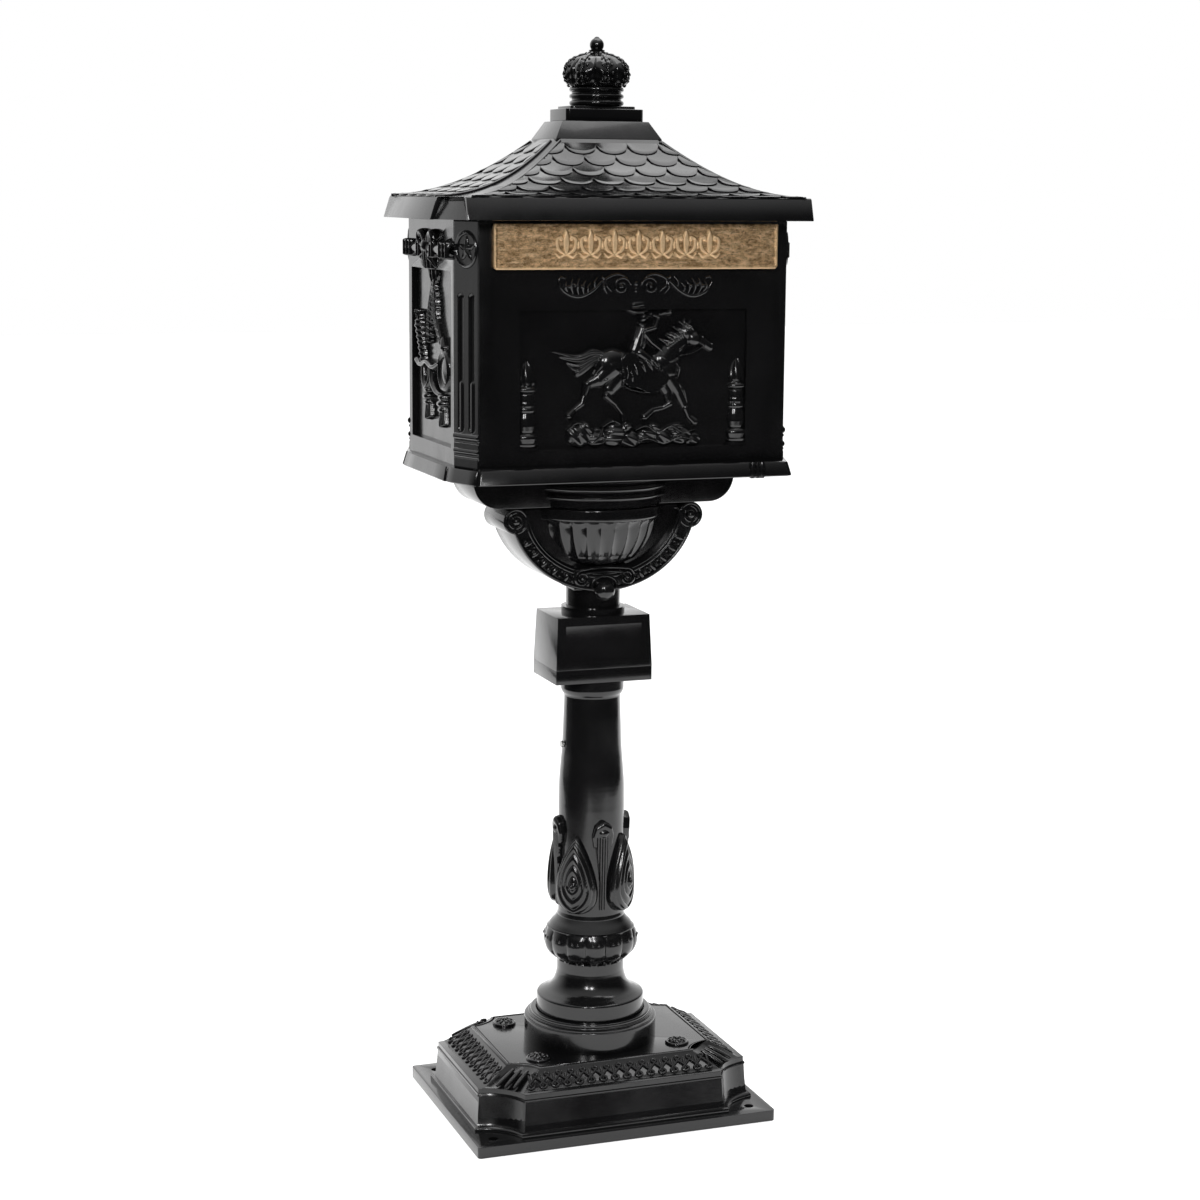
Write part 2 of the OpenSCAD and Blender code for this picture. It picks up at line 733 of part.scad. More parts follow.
module lock_housing() {
    y1 = half_y + door_proud;
    color(steel) translate([lock_x, 0, lock_z]) difference() {
        union() {
            along_y(barrel_r, door_inner - 9, y1);
            along_y(barrel_r + 3, y1, y1 + 2.5);
        }
        along_y(plug_r + pin_gap, door_inner - 10, y1 + 4);
    }
}

module lock_nut() {
    color(steel) translate([lock_x, 0, lock_z]) difference() {
        along_y(barrel_r + 3.5, door_inner - 4, door_inner);
        along_y(barrel_r, door_inner - 5, door_inner + 1);
    }
}

module lock_plug() {
    y1 = half_y + door_proud + 2.5;
    color(steel) translate([lock_x, 0, lock_z]) difference() {
        along_y(plug_r, door_inner - 10, y1);
        block(-0.8, 0.8, y1 - 3, y1 + 1, -3, 3);
    }
}

module lock_cam() {
    back = door_inner - 12.5;
    tip_y = half_y - wall - 1.2;
    color(steel) translate([lock_x, 0, lock_z]) union() {
        along_y(plug_r + 1.5, back, door_inner - 10);
        block(-5, 5, back, door_inner - 10, -barrel_r - 9, 0);
        block(-5, 5, back, tip_y, -barrel_r - 9, -barrel_r - 6.5);
        block(-5, 5, tip_y - 2.5, tip_y, -cam_reach, -barrel_r - 6.5);
    }
}

// Section of the rear right corner strip with a lap behind each neighbouring panel
function pilaster_section() = let (inner = half_y - wall, side = half_x - wall)
    [[half_x, flat_y], [flat_x, half_y], [flat_x, inner], [flat_x - lap, inner],
     [flat_x - lap, inner - wall], [flat_x + 1, inner - wall], [side - wall, flat_y + 1],
     [side - wall, flat_y - lap], [side, flat_y - lap], [side, flat_y]];

// Corner strip of the rear right corner; the others are its mirror images
module pilaster() {
    inner = half_y - wall;
    side = half_x - wall;
    difference() {
        union() {
            slab(pilaster_section(), box_z, box_top);
            for (z = [box_z, box_top - tab_t]) corner_tab(z);
        }
        translate([half_x - tab_inset_x, half_y - tab_inset_y, box_z - 1])
            cylinder(r = screw_r, h = box_h + 2);
        for (z = fastener_levels) translate([0, 0, box_z + z]) {
            translate([flat_x - lap/2, 0, 0]) along_y(screw_r, inner - wall - 1, inner + 1);
            translate([0, flat_y - lap/2, 0]) along_x(screw_r, side - wall - 1, side + 1);
        }
    }
}

module corner_tab(z) {
    x = half_x - tab_inset_x;
    y = half_y - tab_inset_y;
    inner = half_y - 2*wall;
    slab([[x - boss_r, y - boss_r], [half_x - 2*wall, y - boss_r], [flat_x + 1, inner + 1],
        [x - boss_r, inner + 1]], z, z + tab_t);
}

module rear_right_pilaster() {
    color(black) pilaster();
}

module rear_left_pilaster() {
    color(black) mirror([1, 0, 0]) pilaster();
}

module front_right_pilaster() {
    color(black) mirror([0, 1, 0]) pilaster();
}

module front_left_pilaster() {
    color(black) rotate([0, 0, 180]) pilaster();
}

// Screw along +Z with its head below the origin
module screw(length) {
    cylinder(r = screw_r, h = length);
    translate([0, 0, -2]) cylinder(r = screw_r + 1, h = 2);
}

module panel_screws() {
    color(steel) for (sx = [-1, 1], sy = [-1, 1], z = fastener_levels) translate([0, 0, box_z + z]) {
        translate([sx*(flat_x - lap/2), sy*(half_y - 2*wall), 0]) rotate([-90*sy, 0, 0])
            screw(2*wall - 1);
        translate([sx*(half_x - 2*wall), sy*(flat_y - lap/2), 0]) rotate([0, 90*sx, 0])
            screw(2*wall - 1);
    }
}

module floor_screws() {
    color(steel) four(half_x - tab_inset_x, half_y - tab_inset_y)
        translate([0, 0, box_z + tab_t]) mirror([0, 0, 1]) screw(tab_t + 8);
}

module roof_screws() {
    color(steel) four(half_x - tab_inset_x, half_y - tab_inset_y)
        translate([0, 0, box_top - tab_t]) screw(tab_t + 8);
}

module mail_flap() {
    low = flap_top - flap_h;
    rim = 3;
    plate_back = flap_front - flap_t;
    color(brass) difference() {
        union() {
            block(-flap_w/2, flap_w/2, -flap_front, -plate_back, low, flap_top);
            for (s = [-1, 1]) translate([s*(flap_w/2 - return_t/2), 0, 0]) flap_return(low);
            block(-flap_w/2, flap_w/2, -flap_front, -half_y - flap_gap, low, low + rim);
        }
        block(-flap_w/2 + rim, flap_w/2 - rim, -flap_front - 1, -flap_front + 0.6, low + rim,
            flap_top + 1);
        for (s = [-1, 1]) translate([s*(flap_w/2 - return_t/2), flap_axis_y, flap_axis_z])
            along_x(flap_pin_r, -return_t, return_t);
    }
}

module flap_return(low) {
    translate([0, flap_axis_y, flap_axis_z]) along_x(return_back, -return_t/2, return_t/2);
    block(-return_t/2, return_t/2, -flap_front + 1, -half_y - flap_gap, low, flap_axis_z);
    block(-return_t/2, return_t/2, -flap_front + 1, flap_axis_y, low, flap_axis_z + return_back);
}

module flap_pins() {
    color(steel) for (s = [0, 1]) mirror([s, 0, 0]) translate([0, flap_axis_y, flap_axis_z])
        along_x(flap_pin_r, lug_x, flap_w/2);
}

// ---- roof and finial ----

// Half width of the roof against height: steep at the seat and flat at the eave
function sweep(top, foot, drop, n = 9) = [for (i = [0:n]) let (t = i/n)
    [top + (foot - top)*t, eave_top - drop + roof_h*(1 - t)*(1 - t)]];
function both(p, z0) = concat([[p[len(p) - 1][0], z0]], flip(p), [for (q = p) [-q[0], q[1]]],
    [[-p[len(p) - 1][0], z0]]);

module curved_roof(hx, hy, top_x, top_y, drop, z0) {
    intersection() {
        upright(4*hy, 0) polygon(both(sweep(top_x, hx, drop), z0));
        rotate([0, 0, 90]) upright(4*hx, 0) polygon(both(sweep(top_y, hy, drop), z0));
    }
}

module roof_casting() {
    foot_x = half_x + eave_out;
    foot_y = half_y + eave_out - 0.5;
    top_x = foot_x - eave_lean;
    top_y = foot_y - eave_lean;
    soffit = 4;
    lean = 2*seat_lean;
    color(black) difference() {
        union() {
            loft([[cut_box(foot_x, foot_y, eave_corner), box_top],
                [cut_box(top_x, top_y, eave_corner), eave_top]]);
            intersection() {
                curved_roof(top_x, top_y, seat_w/2, seat_d/2, 0, eave_top - 5);
                slab(cut_box(top_x, top_y, eave_corner), eave_top - 5, roof_top);
            }
            hull() {
                centred(seat_w, seat_d, roof_top - eps, roof_top);
                centred(seat_w - lean, seat_d - lean, seat_top - eps, seat_top);
            }
        }
        difference() {
            union() {
                slab(cut_box(half_x - wall - 1, half_y - wall - 1, [corner_x, corner_y]),
                    box_top - 1, box_top + soffit + 1);
                slab(cut_box(top_x - roof_wall, top_y - roof_wall, eave_corner), box_top + soffit,
                    eave_top - roof_wall);
                intersection() {
                    curved_roof(top_x - roof_wall, top_y - roof_wall, seat_w/2 - roof_wall,
                        seat_d/2 - roof_wall, roof_wall, eave_top - roof_wall - 2);
                    slab(cut_box(top_x - roof_wall, top_y - roof_wall, eave_corner),
                        eave_top - roof_wall - 2, roof_top);
                }
                centred(seat_w - lean - 2*roof_wall, seat_d - lean - 2*roof_wall,
                    roof_top - roof_wall - 1, seat_top - roof_wall);
            }
            four(half_x - tab_inset_x, half_y - tab_inset_y) translate([0, 0, box_top])
                cylinder(r = boss_r, h = eave_h);
        }
        four(half_x - tab_inset_x, half_y - tab_inset_y) translate([0, 0, box_top - 1])
            cylinder(r = screw_r, h = 9);
        translate([0, 0, seat_top - roof_wall - 1]) cylinder(r = bolt_r, h = roof_wall + 2);
    }
}

module finial_plinth() {
    color(black) difference() {
        union() {
            slab(cut_box(finial_w/2, finial_d/2, [3, 3]), seat_top, plinth_step_z);
            slab(cut_box(finial_w/2 - 6.8, finial_d/2 - 5.4, [3, 3]), plinth_step_z - eps, finial_neck_z);
        }
        centred(finial_w - 2*base_wall - 10, finial_d - 2*base_wall - 10, seat_top - 1,
            plinth_step_z - 2);
        translate([0, 0, seat_top]) cylinder(r = bolt_r, h = finial_h + finial_step_h + 1);
    }
}

module finial_neck() {
    bead = finial_neck_h/3;
    outer = [for (i = [0:2], s = [[-2, 0], [0, 0.3], [0, 0.7], [-2, 1]])
        [finial_neck_r + s[0], (i + s[1])*bead]];
    color(black) translate([0, 0, finial_neck_z]) rotate_extrude() polygon(shell(outer, post_wall));
}

module finial_crown() {
    ball = 7.6;
    r = finial_neck_r;
    color(black) translate([0, 0, crown_z]) difference() {
        union() {
            rotate_extrude() polygon([[0, 0], [r - 1, 0], [r + 2, 2.5], [crown_r - 2, crown_h*0.22],
                [crown_r, crown_h*0.33], [crown_r - 2.5, crown_h*0.42], [crown_r - 8, crown_h*0.52],
                [21.4, crown_h*0.6], [9.4, crown_h*0.67], [5.3, crown_h*0.74], [5.3, crown_h*0.78],
                [0, crown_h*0.78]]);
            translate([0, 0, crown_h - ball]) sphere(r = ball);
        }
        translate([0, 0, -1]) cylinder(r = bolt_r, h = crown_h*0.4 + 1);
    }
}

module finial_stud() {
    foot = seat_top - roof_wall - 9;
    color(steel) translate([0, 0, foot]) cylinder(r = bolt_r, h = crown_z + crown_h*0.4 - foot);
}

module finial_nut() {
    color(steel) translate([0, 0, seat_top - roof_wall - 6.5]) hex_nut(6.5, bolt_r, 6.5);
}

base_casting();
base_rosettes();
socket_ring();
post_foot();
post_knop();
post_shaft();
acanthus_collar();
shaft_set_screw();
block_cap();
block_casting();
neck_collar();
scroll_bracket();
bracket_beam();
tie_rod();
tie_rod_nuts();
tie_rod_washers();
bracket_bolts();
bracket_nuts();
floor_pan();
front_panel();
left_panel();
right_panel();
rear_frame();
front_left_pilaster();
front_right_pilaster();
rear_left_pilaster();
rear_right_pilaster();
panel_screws();
floor_screws();
roof_screws();
roof_casting();
finial_plinth();
finial_neck();
finial_crown();
finial_stud();
finial_nut();
door_hinge_pins();
rear_door();
lock_housing();
lock_nut();
lock_plug();
lock_cam();
mail_flap();
flap_pins();
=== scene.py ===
"""Looks of a cast pedestal letter box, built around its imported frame. Sizes are in millimetres."""

import json
import math

import bmesh
import bpy
import numpy as np
from mathutils import Matrix, Vector


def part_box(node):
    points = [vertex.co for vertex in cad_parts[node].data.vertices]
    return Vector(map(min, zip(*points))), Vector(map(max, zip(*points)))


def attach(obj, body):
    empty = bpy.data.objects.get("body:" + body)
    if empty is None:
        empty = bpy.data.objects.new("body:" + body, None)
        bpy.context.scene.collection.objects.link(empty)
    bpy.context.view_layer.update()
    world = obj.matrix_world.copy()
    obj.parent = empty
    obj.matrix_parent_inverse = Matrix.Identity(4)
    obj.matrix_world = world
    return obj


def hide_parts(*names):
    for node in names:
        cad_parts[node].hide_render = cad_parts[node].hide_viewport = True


MM = 0.001

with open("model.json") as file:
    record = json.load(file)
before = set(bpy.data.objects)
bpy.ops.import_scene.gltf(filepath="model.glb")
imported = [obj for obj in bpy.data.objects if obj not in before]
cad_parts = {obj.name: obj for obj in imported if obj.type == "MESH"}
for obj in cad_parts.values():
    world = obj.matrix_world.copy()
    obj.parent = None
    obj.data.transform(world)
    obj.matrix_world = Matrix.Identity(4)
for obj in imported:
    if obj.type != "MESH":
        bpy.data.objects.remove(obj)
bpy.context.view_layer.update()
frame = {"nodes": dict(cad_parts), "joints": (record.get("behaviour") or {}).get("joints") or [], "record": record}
nodes = frame["nodes"]


def span(node):
    """Lowest and highest corner of a CAD node, in millimetres."""
    low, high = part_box(node)
    return np.array(low) / MM, np.array(high) / MM


# ---------------------------------------------------------------- camera, light and floor

# Solved from straight edges in the photograph. The place is in metres, the lens and sensor in millimetres.
CAMERA_PLACE = (-0.88276, -2.44815, 0.99791)
CAMERA_YAW = math.radians(19.998)
CAMERA_PITCH = math.radians(9.55)
CAMERA_ROLL = math.radians(0.4455)
CAMERA_LENS = 73.836
SENSOR = 36


def link(obj):
    """Puts a new object into the scene."""
    bpy.context.scene.collection.objects.link(obj)
    return obj


def make_camera():
    """Turned right by the yaw, down by the pitch and a little about its own axis."""
    up = Vector((0, 0, 1))
    ahead = Vector((math.sin(CAMERA_YAW), math.cos(CAMERA_YAW), 0))
    right = Vector((math.cos(CAMERA_YAW), -math.sin(CAMERA_YAW), 0))
    forward = ahead * math.cos(CAMERA_PITCH) - up * math.sin(CAMERA_PITCH)
    above = up * math.cos(CAMERA_PITCH) + ahead * math.sin(CAMERA_PITCH)
    image_x = right * math.cos(CAMERA_ROLL) + above * math.sin(CAMERA_ROLL)
    image_y = above * math.cos(CAMERA_ROLL) - right * math.sin(CAMERA_ROLL)
    data = bpy.data.cameras.new("camera")
    data.sensor_width = SENSOR
    data.lens = CAMERA_LENS
    obj = link(bpy.data.objects.new("camera", data))
    turn = Matrix((image_x, image_y, -forward)).transposed().to_4x4()
    obj.matrix_world = Matrix.Translation(CAMERA_PLACE) @ turn
    bpy.context.scene.camera = obj


def area_light(name, place, target, size, power):
    """A soft rectangular light that faces a target. Places are in metres, power in watts."""
    data = bpy.data.lights.new(name, "AREA")
    data.shape = "RECTANGLE"
    data.size, data.size_y = size
    data.energy = power
    obj = link(bpy.data.objects.new(name, data))
    obj.location = place
    obj.rotation_mode = "QUATERNION"
    obj.rotation_quaternion = (Vector(target) - Vector(place)).to_track_quat("-Z", "Y")


# Parts of the studio's light: the axis looked along, where the change starts and ends, the strengths there
BEHIND = ("Y", 0.1, 0.95, 0.03, 1.15)
OVERHEAD = ("Z", 0.35, 0.9, 0.0, 0.6)
HORIZON = ("Z", -0.16, -0.07, 0.08, 1.0)


def make_world():
    """A white studio: bright behind and above, dim in front and below, plain white where seen itself."""
    world = bpy.data.worlds.new("studio")
    world.use_nodes = True
    tree = world.node_tree
    background = tree.nodes["Background"]
    place = tree.nodes.new("ShaderNodeTexCoord")
    split = tree.nodes.new("ShaderNodeSeparateXYZ")
    tree.links.new(place.outputs["Generated"], split.inputs[0])
    glow = []
    for axis, start, end, low, high in (BEHIND, OVERHEAD, HORIZON):
        part = tree.nodes.new("ShaderNodeMapRange")
        part.interpolation_type = "SMOOTHSTEP"
        for name, value in zip(("From Min", "From Max", "To Min", "To Max"), (start, end, low, high)):
            part.inputs[name].default_value = value
        tree.links.new(split.outputs[axis], part.inputs["Value"])
        glow.append(part.outputs["Result"])
    level = tree.nodes.new("ShaderNodeMath")
    level.operation = "MULTIPLY"
    tree.links.new(glow[0], level.inputs[0])
    tree.links.new(glow[2], level.inputs[1])
    total = tree.nodes.new("ShaderNodeMath")
    tree.links.new(level.outputs[0], total.inputs[0])
    tree.links.new(glow[1], total.inputs[1])
    seen = tree.nodes.new("ShaderNodeLightPath")
    mix = tree.nodes.new("ShaderNodeMix")
    mix.inputs["B"].default_value = 1.0
    tree.links.new(seen.outputs["Is Camera Ray"], mix.inputs["Factor"])
    tree.links.new(total.outputs[0], mix.inputs["A"])
    tree.links.new(mix.outputs["Result"], background.inputs["Strength"])
    background.inputs["Color"].default_value = (1, 1, 1, 1)
    bpy.context.scene.world = world


# The floor's left and right ends in front and behind, in metres. It widens, so its sides stay out of sight.
FLOOR_FRONT = (-0.72, 0.95)
FLOOR_BACK = (-3.8, 10.19)


def make_floor():
    """Pale studio floor, seamless with the white background behind the object."""
    (front_left, front_right), front = FLOOR_FRONT, -1.4
    (back_left, back_right), back = FLOOR_BACK, 14.0
    mesh = bpy.data.meshes.new("floor")
    corners = [(front_left, front, 0), (front_right, front, 0), (back_right, back, 0), (back_left, back, 0)]
    mesh.from_pydata(corners, [], [(0, 1, 2, 3)])
    floor = link(bpy.data.objects.new("floor", mesh))
    mat = bpy.data.materials.new("pale_floor")
    mat.use_nodes = True
    shader = mat.node_tree.nodes["Principled BSDF"]
    shader.inputs["Base Color"].default_value = (0.93, 0.93, 0.93, 1)
    shader.inputs["Roughness"].default_value = 0.75
    shader.inputs["Emission Color"].default_value = (1, 1, 1, 1)
    shader.inputs["Emission Strength"].default_value = 0.6
    mesh.materials.append(mat)


# ---------------------------------------------------------------- materials


class Nodes:
    """Short calls that build a material's node tree."""

    def __init__(self, name):
        self.mat = bpy.data.materials.new(name)
        self.mat.use_nodes = True
        self.tree = self.mat.node_tree
        self.shader = self.tree.nodes["Principled BSDF"]
        self.place = self.tree.nodes.new("ShaderNodeTexCoord").outputs["Object"]

    def node(self, kind, **inputs):
        made = self.tree.nodes.new("ShaderNode" + kind)
        for name, value in inputs.items():
            self.put(made.inputs[name.replace("_", " ")], value)
        return made

    def put(self, socket, value):
        if isinstance(value, bpy.types.NodeSocket):
            self.tree.links.new(value, socket)
        else:
            socket.default_value = value

    def noise(self, scale, detail=3.0, rough=0.5, stretch=(1, 1, 1)):
        at = self.node("Mapping", Vector=self.place, Scale=stretch)
        made = self.node("TexNoise", Vector=at.outputs[0], Scale=scale, Detail=detail, Roughness=rough)
        return made.outputs["Fac"]

    def ramp(self, value, low, high, start=0.3, end=0.7):
        made = self.node("MapRange", Value=value)
        made.inputs["From Min"].default_value = start
        made.inputs["From Max"].default_value = end
        made.inputs["To Min"].default_value = low
        made.inputs["To Max"].default_value = high
        return made.outputs["Result"]

    def blend(self, factor, first, second):
        made = self.tree.nodes.new("ShaderNodeMix")
        made.data_type = "RGBA"
        self.put(made.inputs["Factor"], factor)
        self.put(made.inputs[6], first)
        self.put(made.inputs[7], second)
        return made.outputs[2]

    def attribute(self, name):
        made = self.tree.nodes.new("ShaderNodeAttribute")
        made.attribute_name = name
        return made.outputs["Fac"]

    def bump(self, height, strength, distance, under=None):
        made = self.node("Bump", Height=height, Strength=strength, Distance=distance)
        if under is not None:
            self.put(made.inputs["Normal"], under)
        return made.outputs["Normal"]

    def set(self, **inputs):
        for name, value in inputs.items():
            self.put(self.shader.inputs[name.replace("_", " ")], value)


def black_paint():
    """Gloss black powder coat: fine orange peel over slightly uneven cast metal, dulled in patches."""
    m = Nodes("black_paint")
    patches = m.noise(9.0, 4.0)
    specks = m.noise(900.0, 2.0)
    tint = m.blend(m.ramp(patches, 0, 1), (0.0035, 0.0035, 0.0038, 1), (0.0075, 0.0075, 0.008, 1))
    cast = m.bump(m.noise(55.0, 3.0), 0.12, 0.0009)
    peel = m.bump(specks, 0.05, 0.0003, cast)
    m.set(Base_Color=tint, Roughness=m.ramp(m.noise(30.0, 5.0), 0.13, 0.24), Normal=peel)
    m.set(Specular_IOR_Level=0.5, Coat_Weight=0.25, Coat_Roughness=0.08)
    return m.mat


def antique_brass():
    """Antiqued brass: brushed streaks, high spots made bright as rubbed wear and painted highlight, brown patina
    in the hollows and dark flecks.
    """
    m = Nodes("antique_brass")
    rise = m.attribute("rise")
    clouds = m.noise(26.0, 5.0, 0.7, (1, 1, 1.6))
    mottle = m.noise(190.0, 8.0, 0.8, (0.7, 1, 1.3))
    streaks = m.noise(300.0, 4.0, 0.7, (0.2, 1, 1))
    flecks = m.noise(520.0, 6.0, 0.8, (0.6, 1, 1))
    base = m.blend(m.ramp(mottle, 0, 1, 0.42, 0.6), (0.27, 0.165, 0.078, 1), (0.88, 0.58, 0.31, 1))
    toned = m.blend(m.ramp(clouds, 0, 0.6, 0.46, 0.68), base, (0.33, 0.2, 0.09, 1))
    brightened = m.blend(m.ramp(streaks, 0, 0.8, 0.5, 0.68), toned, (0.95, 0.68, 0.4, 1))
    dark = m.blend(m.ramp(flecks, 0, 0.9, 0.53, 0.66), brightened, (0.045, 0.026, 0.012, 1))
    # Painted highlight with rubbed wear: the rise attribute lightens the flap's rim and motif tops towards bright
    # brass.
    bright = m.blend(rise, dark, (0.95, 0.68, 0.4, 1))
    grain = m.bump(streaks, 0.25, 0.0003)
    pits = m.bump(mottle, 0.7, 0.0009, grain)
    m.set(Base_Color=bright, Metallic=0.75, Roughness=m.ramp(flecks, 0.36, 0.58), Normal=pits)
    return m.mat


def plated(name, colour, rough_low, rough_high, metal=1.0):
    """Plated steel with fine drawn lines and a faint cloudiness."""
    m = Nodes(name)
    clouds = m.noise(45.0, 4.0)
    lines = m.noise(700.0, 2.0, 0.5, (1, 1, 0.1))
    shade = tuple(c * 0.72 for c in colour[:3]) + (1,)
    m.set(Base_Color=m.blend(m.ramp(clouds, 0, 1), shade, colour), Metallic=metal)
    m.set(Roughness=m.ramp(lines, rough_low, rough_high), Normal=m.bump(lines, 0.15, 0.0001))
    return m.mat


make_camera()
make_world()
area_light("left_lamp", (-2.0, -3.4, 2.3), (0, 0, 0.6), (0.35, 0.9), 34)
area_light("right_lamp", (-0.9, -3.7, 2.35), (0, 0, 0.6), (0.35, 0.9), 34)
area_light("top_lamp", (0.4, 0.4, 3.4), (0, 0, 0.8), (2.4, 2.0), 40)
make_floor()
bpy.context.scene.view_settings.view_transform = "Standard"

MATERIALS = {
    "black_paint": black_paint(),
    "antique_brass": antique_brass(),
    "zinc_plated_steel": plated("zinc_plated_steel", (0.56, 0.56, 0.55, 1), 0.28, 0.45),
    "lock_metal": plated("lock_metal", (0.68, 0.68, 0.69, 1), 0.12, 0.25),
}
for part in frame["record"]["subparts"]:
    skin = nodes[part["node"]].data.materials
    skin.clear()
    skin.append(MATERIALS[part["material_slot"]])


# ---------------------------------------------------------------- mesh building


class Shape:
    """Points and faces of one piece, gathered from its parts."""

    def __init__(self):
        self.points = []
        self.faces = []
        self.rises = []
        self.count = 0

    def add(self, points, faces, rise=0.0):
        points = np.asarray(points, float).reshape(-1, 3)
        first = self.count
        self.points.append(points)
        self.rises.append(np.broadcast_to(np.asarray(rise, float), (len(points),)))
        self.faces.extend(tuple(int(i) + first for i in face) for face in faces)
        self.count += len(points)

    def make(self, name, slot="black_paint", body="root", replaces=(), sharp=35.0, bevel=0.0):
        """Turns the parts into a piece that rides on a body, with edges softened by the bevel's width."""
        mesh = bpy.data.meshes.new(name)
        mesh.from_pydata((np.concatenate(self.points) * MM).tolist(), [], self.faces)
        # The rise attribute holds how much brighter the brass is painted: rubbed wear and painted highlight.
        rises = mesh.attributes.new("rise", "FLOAT", "POINT")
        rises.data.foreach_set("value", np.concatenate(self.rises))
        return finish_mesh(mesh, name, slot, body, replaces, sharp, bevel)


def finish_mesh(mesh, name, slot, body, replaces, sharp, bevel):
    """Cleans a mesh and makes it a piece with a material that rides on a body."""
    shape = bmesh.new()
    shape.from_mesh(mesh)
    bmesh.ops.remove_doubles(shape, verts=shape.verts, dist=0.00001)
    bmesh.ops.dissolve_degenerate(shape, edges=shape.edges, dist=0.000005)
    bmesh.ops.recalc_face_normals(shape, faces=shape.faces)
    if bevel:
        bevel_corners(shape, bevel * MM)
    shape.to_mesh(mesh)
    shape.free()
    mesh.shade_smooth()
    mesh.set_sharp_from_angle(angle=math.radians(sharp))
    mesh.materials.append(MATERIALS[slot])
    obj = link(bpy.data.objects.new(name, mesh))
    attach(obj, body)
    if replaces:
        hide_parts(*replaces)
    return obj


def bevel_corners(shape, width, angle=math.radians(28)):
    """Rounds the edges that turn by more than an angle. The width is in metres."""
    edges = [e for e in shape.edges if len(e.link_faces) == 2 and e.calc_face_angle(0) > angle]
    how = {"offset_type": "OFFSET", "segments": 2, "profile": 0.6, "affect": "EDGES", "clamp_overlap": True}
    bmesh.ops.bevel(shape, geom=edges, offset=width, **how)


def softened(node, width, body="root"):
    """A piece with the shape of a CAD node and rounded edges, which stands for that node."""
    source = nodes[node]
    mesh = bpy.data.meshes.new(node + "_cast")
    shape = bmesh.new()
    shape.from_mesh(source.data)
    bmesh.ops.remove_doubles(shape, verts=shape.verts, dist=0.00001)
    bmesh.ops.dissolve_limit(shape, angle_limit=math.radians(1), verts=shape.verts, edges=shape.edges)
    bmesh.ops.recalc_face_normals(shape, faces=shape.faces)
    bevel_corners(shape, width * MM)
    shape.to_mesh(mesh)
    shape.free()
    slot = next(p["material_slot"] for p in frame["record"]["subparts"] if p["node"] == node)
    return finish_mesh(mesh, node + "_cast", slot, body, (node,), 30.0, 0.0)


def grid_faces(rows, columns, around=False):
    """Four-sided faces between rows of points; around joins the last column to the first."""
    faces = []
    for i in range(rows - 1):
        low, high = i * columns, (i + 1) * columns
        for j in range(columns if around else columns - 1):
            k = (j + 1) % columns
            faces.append((low + j, low + k, high + k, high + j))
    return faces


def profile(outline, step=1.2):
    """Radii and heights along an outline of (radius, height) points, no further apart than a step or so."""
    radii, heights = [], []
    for (r0, z0), (r1, z1) in zip(outline[:-1], outline[1:]):
        parts = max(1, int(math.hypot(r1 - r0, z1 - z0) / step))
        for k in range(parts):
            radii.append(r0 + (r1 - r0) * k / parts)
            heights.append(z0 + (z1 - z0) * k / parts)
    radii.append(outline[-1][0])
    heights.append(outline[-1][1])
    return np.array(radii), np.array(heights)


def arc(centre, radius, start, end, count=8):
    """Points on an arc about a centre, between two angles in degrees."""
    angles = np.radians(np.linspace(start, end, count))
    return [(centre[0] + radius * math.cos(a), centre[1] + radius * math.sin(a)) for a in angles]


def flowing(points, count=8):
    """A smooth curve through points, with a number of steps in each gap."""
    p = np.asarray(points, float)
    p = np.concatenate([[2 * p[0] - p[1]], p, [2 * p[-1] - p[-2]]])
    out = []
    for i in range(1, len(p) - 2):
        for t in np.arange(count) / count:
            a = 2 * p[i]
            b = p[i + 1] - p[i - 1]
            c = 2 * p[i - 1] - 5 * p[i] + 4 * p[i + 1] - p[i + 2]
            d = -p[i - 1] + 3 * p[i] - 3 * p[i + 1] + p[i + 2]
            out.append(0.5 * (a + b * t + c * t * t + d * t**3))
    out.append(p[-2])
    return np.array(out)


def smooth(points, count=8):
    """The same curve as a list of pairs, to join an outline."""
    return [tuple(p) for p in flowing(points, count)]


def revolve(shape, outline, count=96, shaping=None, step=1.2):
    """A turned part from (radius, height) points. shaping(angle, height) is added to the radius."""
    radii, heights = profile(outline, step)
    angles = np.arange(count) * 2 * np.pi / count
    turns = np.repeat(angles[None], len(heights), 0)
    spread = np.repeat(radii[:, None], count, 1)
    levels = np.repeat(heights[:, None], count, 1)
    if shaping:
        spread = spread + shaping(turns, levels)
    points = np.stack([spread * np.cos(turns), spread * np.sin(turns), levels], -1)
    loft(shape, points)


def tube(shape, path, radius, sides=8, out=None, flat=1.0, closed=False, rise=0.0):
    """A round or flattened bead along a path. out is the direction its flattened height points in."""
    path = np.asarray(path, float)
    n = len(path)
    if closed:
        along = np.roll(path, -1, 0) - np.roll(path, 1, 0)
    else:
        along = np.gradient(path, axis=0)
    along /= np.linalg.norm(along, axis=1)[:, None]
    out = np.asarray((0, 0, 1) if out is None else out, float)
    out = np.broadcast_to(out, (n, 3))
    side = np.cross(along, out)
    side /= np.linalg.norm(side, axis=1)[:, None]
    up = np.cross(side, along)
    radius = np.broadcast_to(np.asarray(radius, float), (n,))
    turns = np.arange(sides) * 2 * np.pi / sides
    ring = side[:, None] * np.cos(turns)[None, :, None] + up[:, None] * np.sin(turns)[None, :, None] * flat
    points = path[:, None] + ring * radius[:, None, None]
    faces = grid_faces(n, sides, True)
    if closed:
        last = (n - 1) * sides
        faces += [(last + j, last + (j + 1) % sides, (j + 1) % sides, j) for j in range(sides)]
    else:
        faces.append(tuple(range(sides - 1, -1, -1)))
        faces.append(tuple(range((n - 1) * sides, n * sides)))
    shape.add(points, faces, rise)


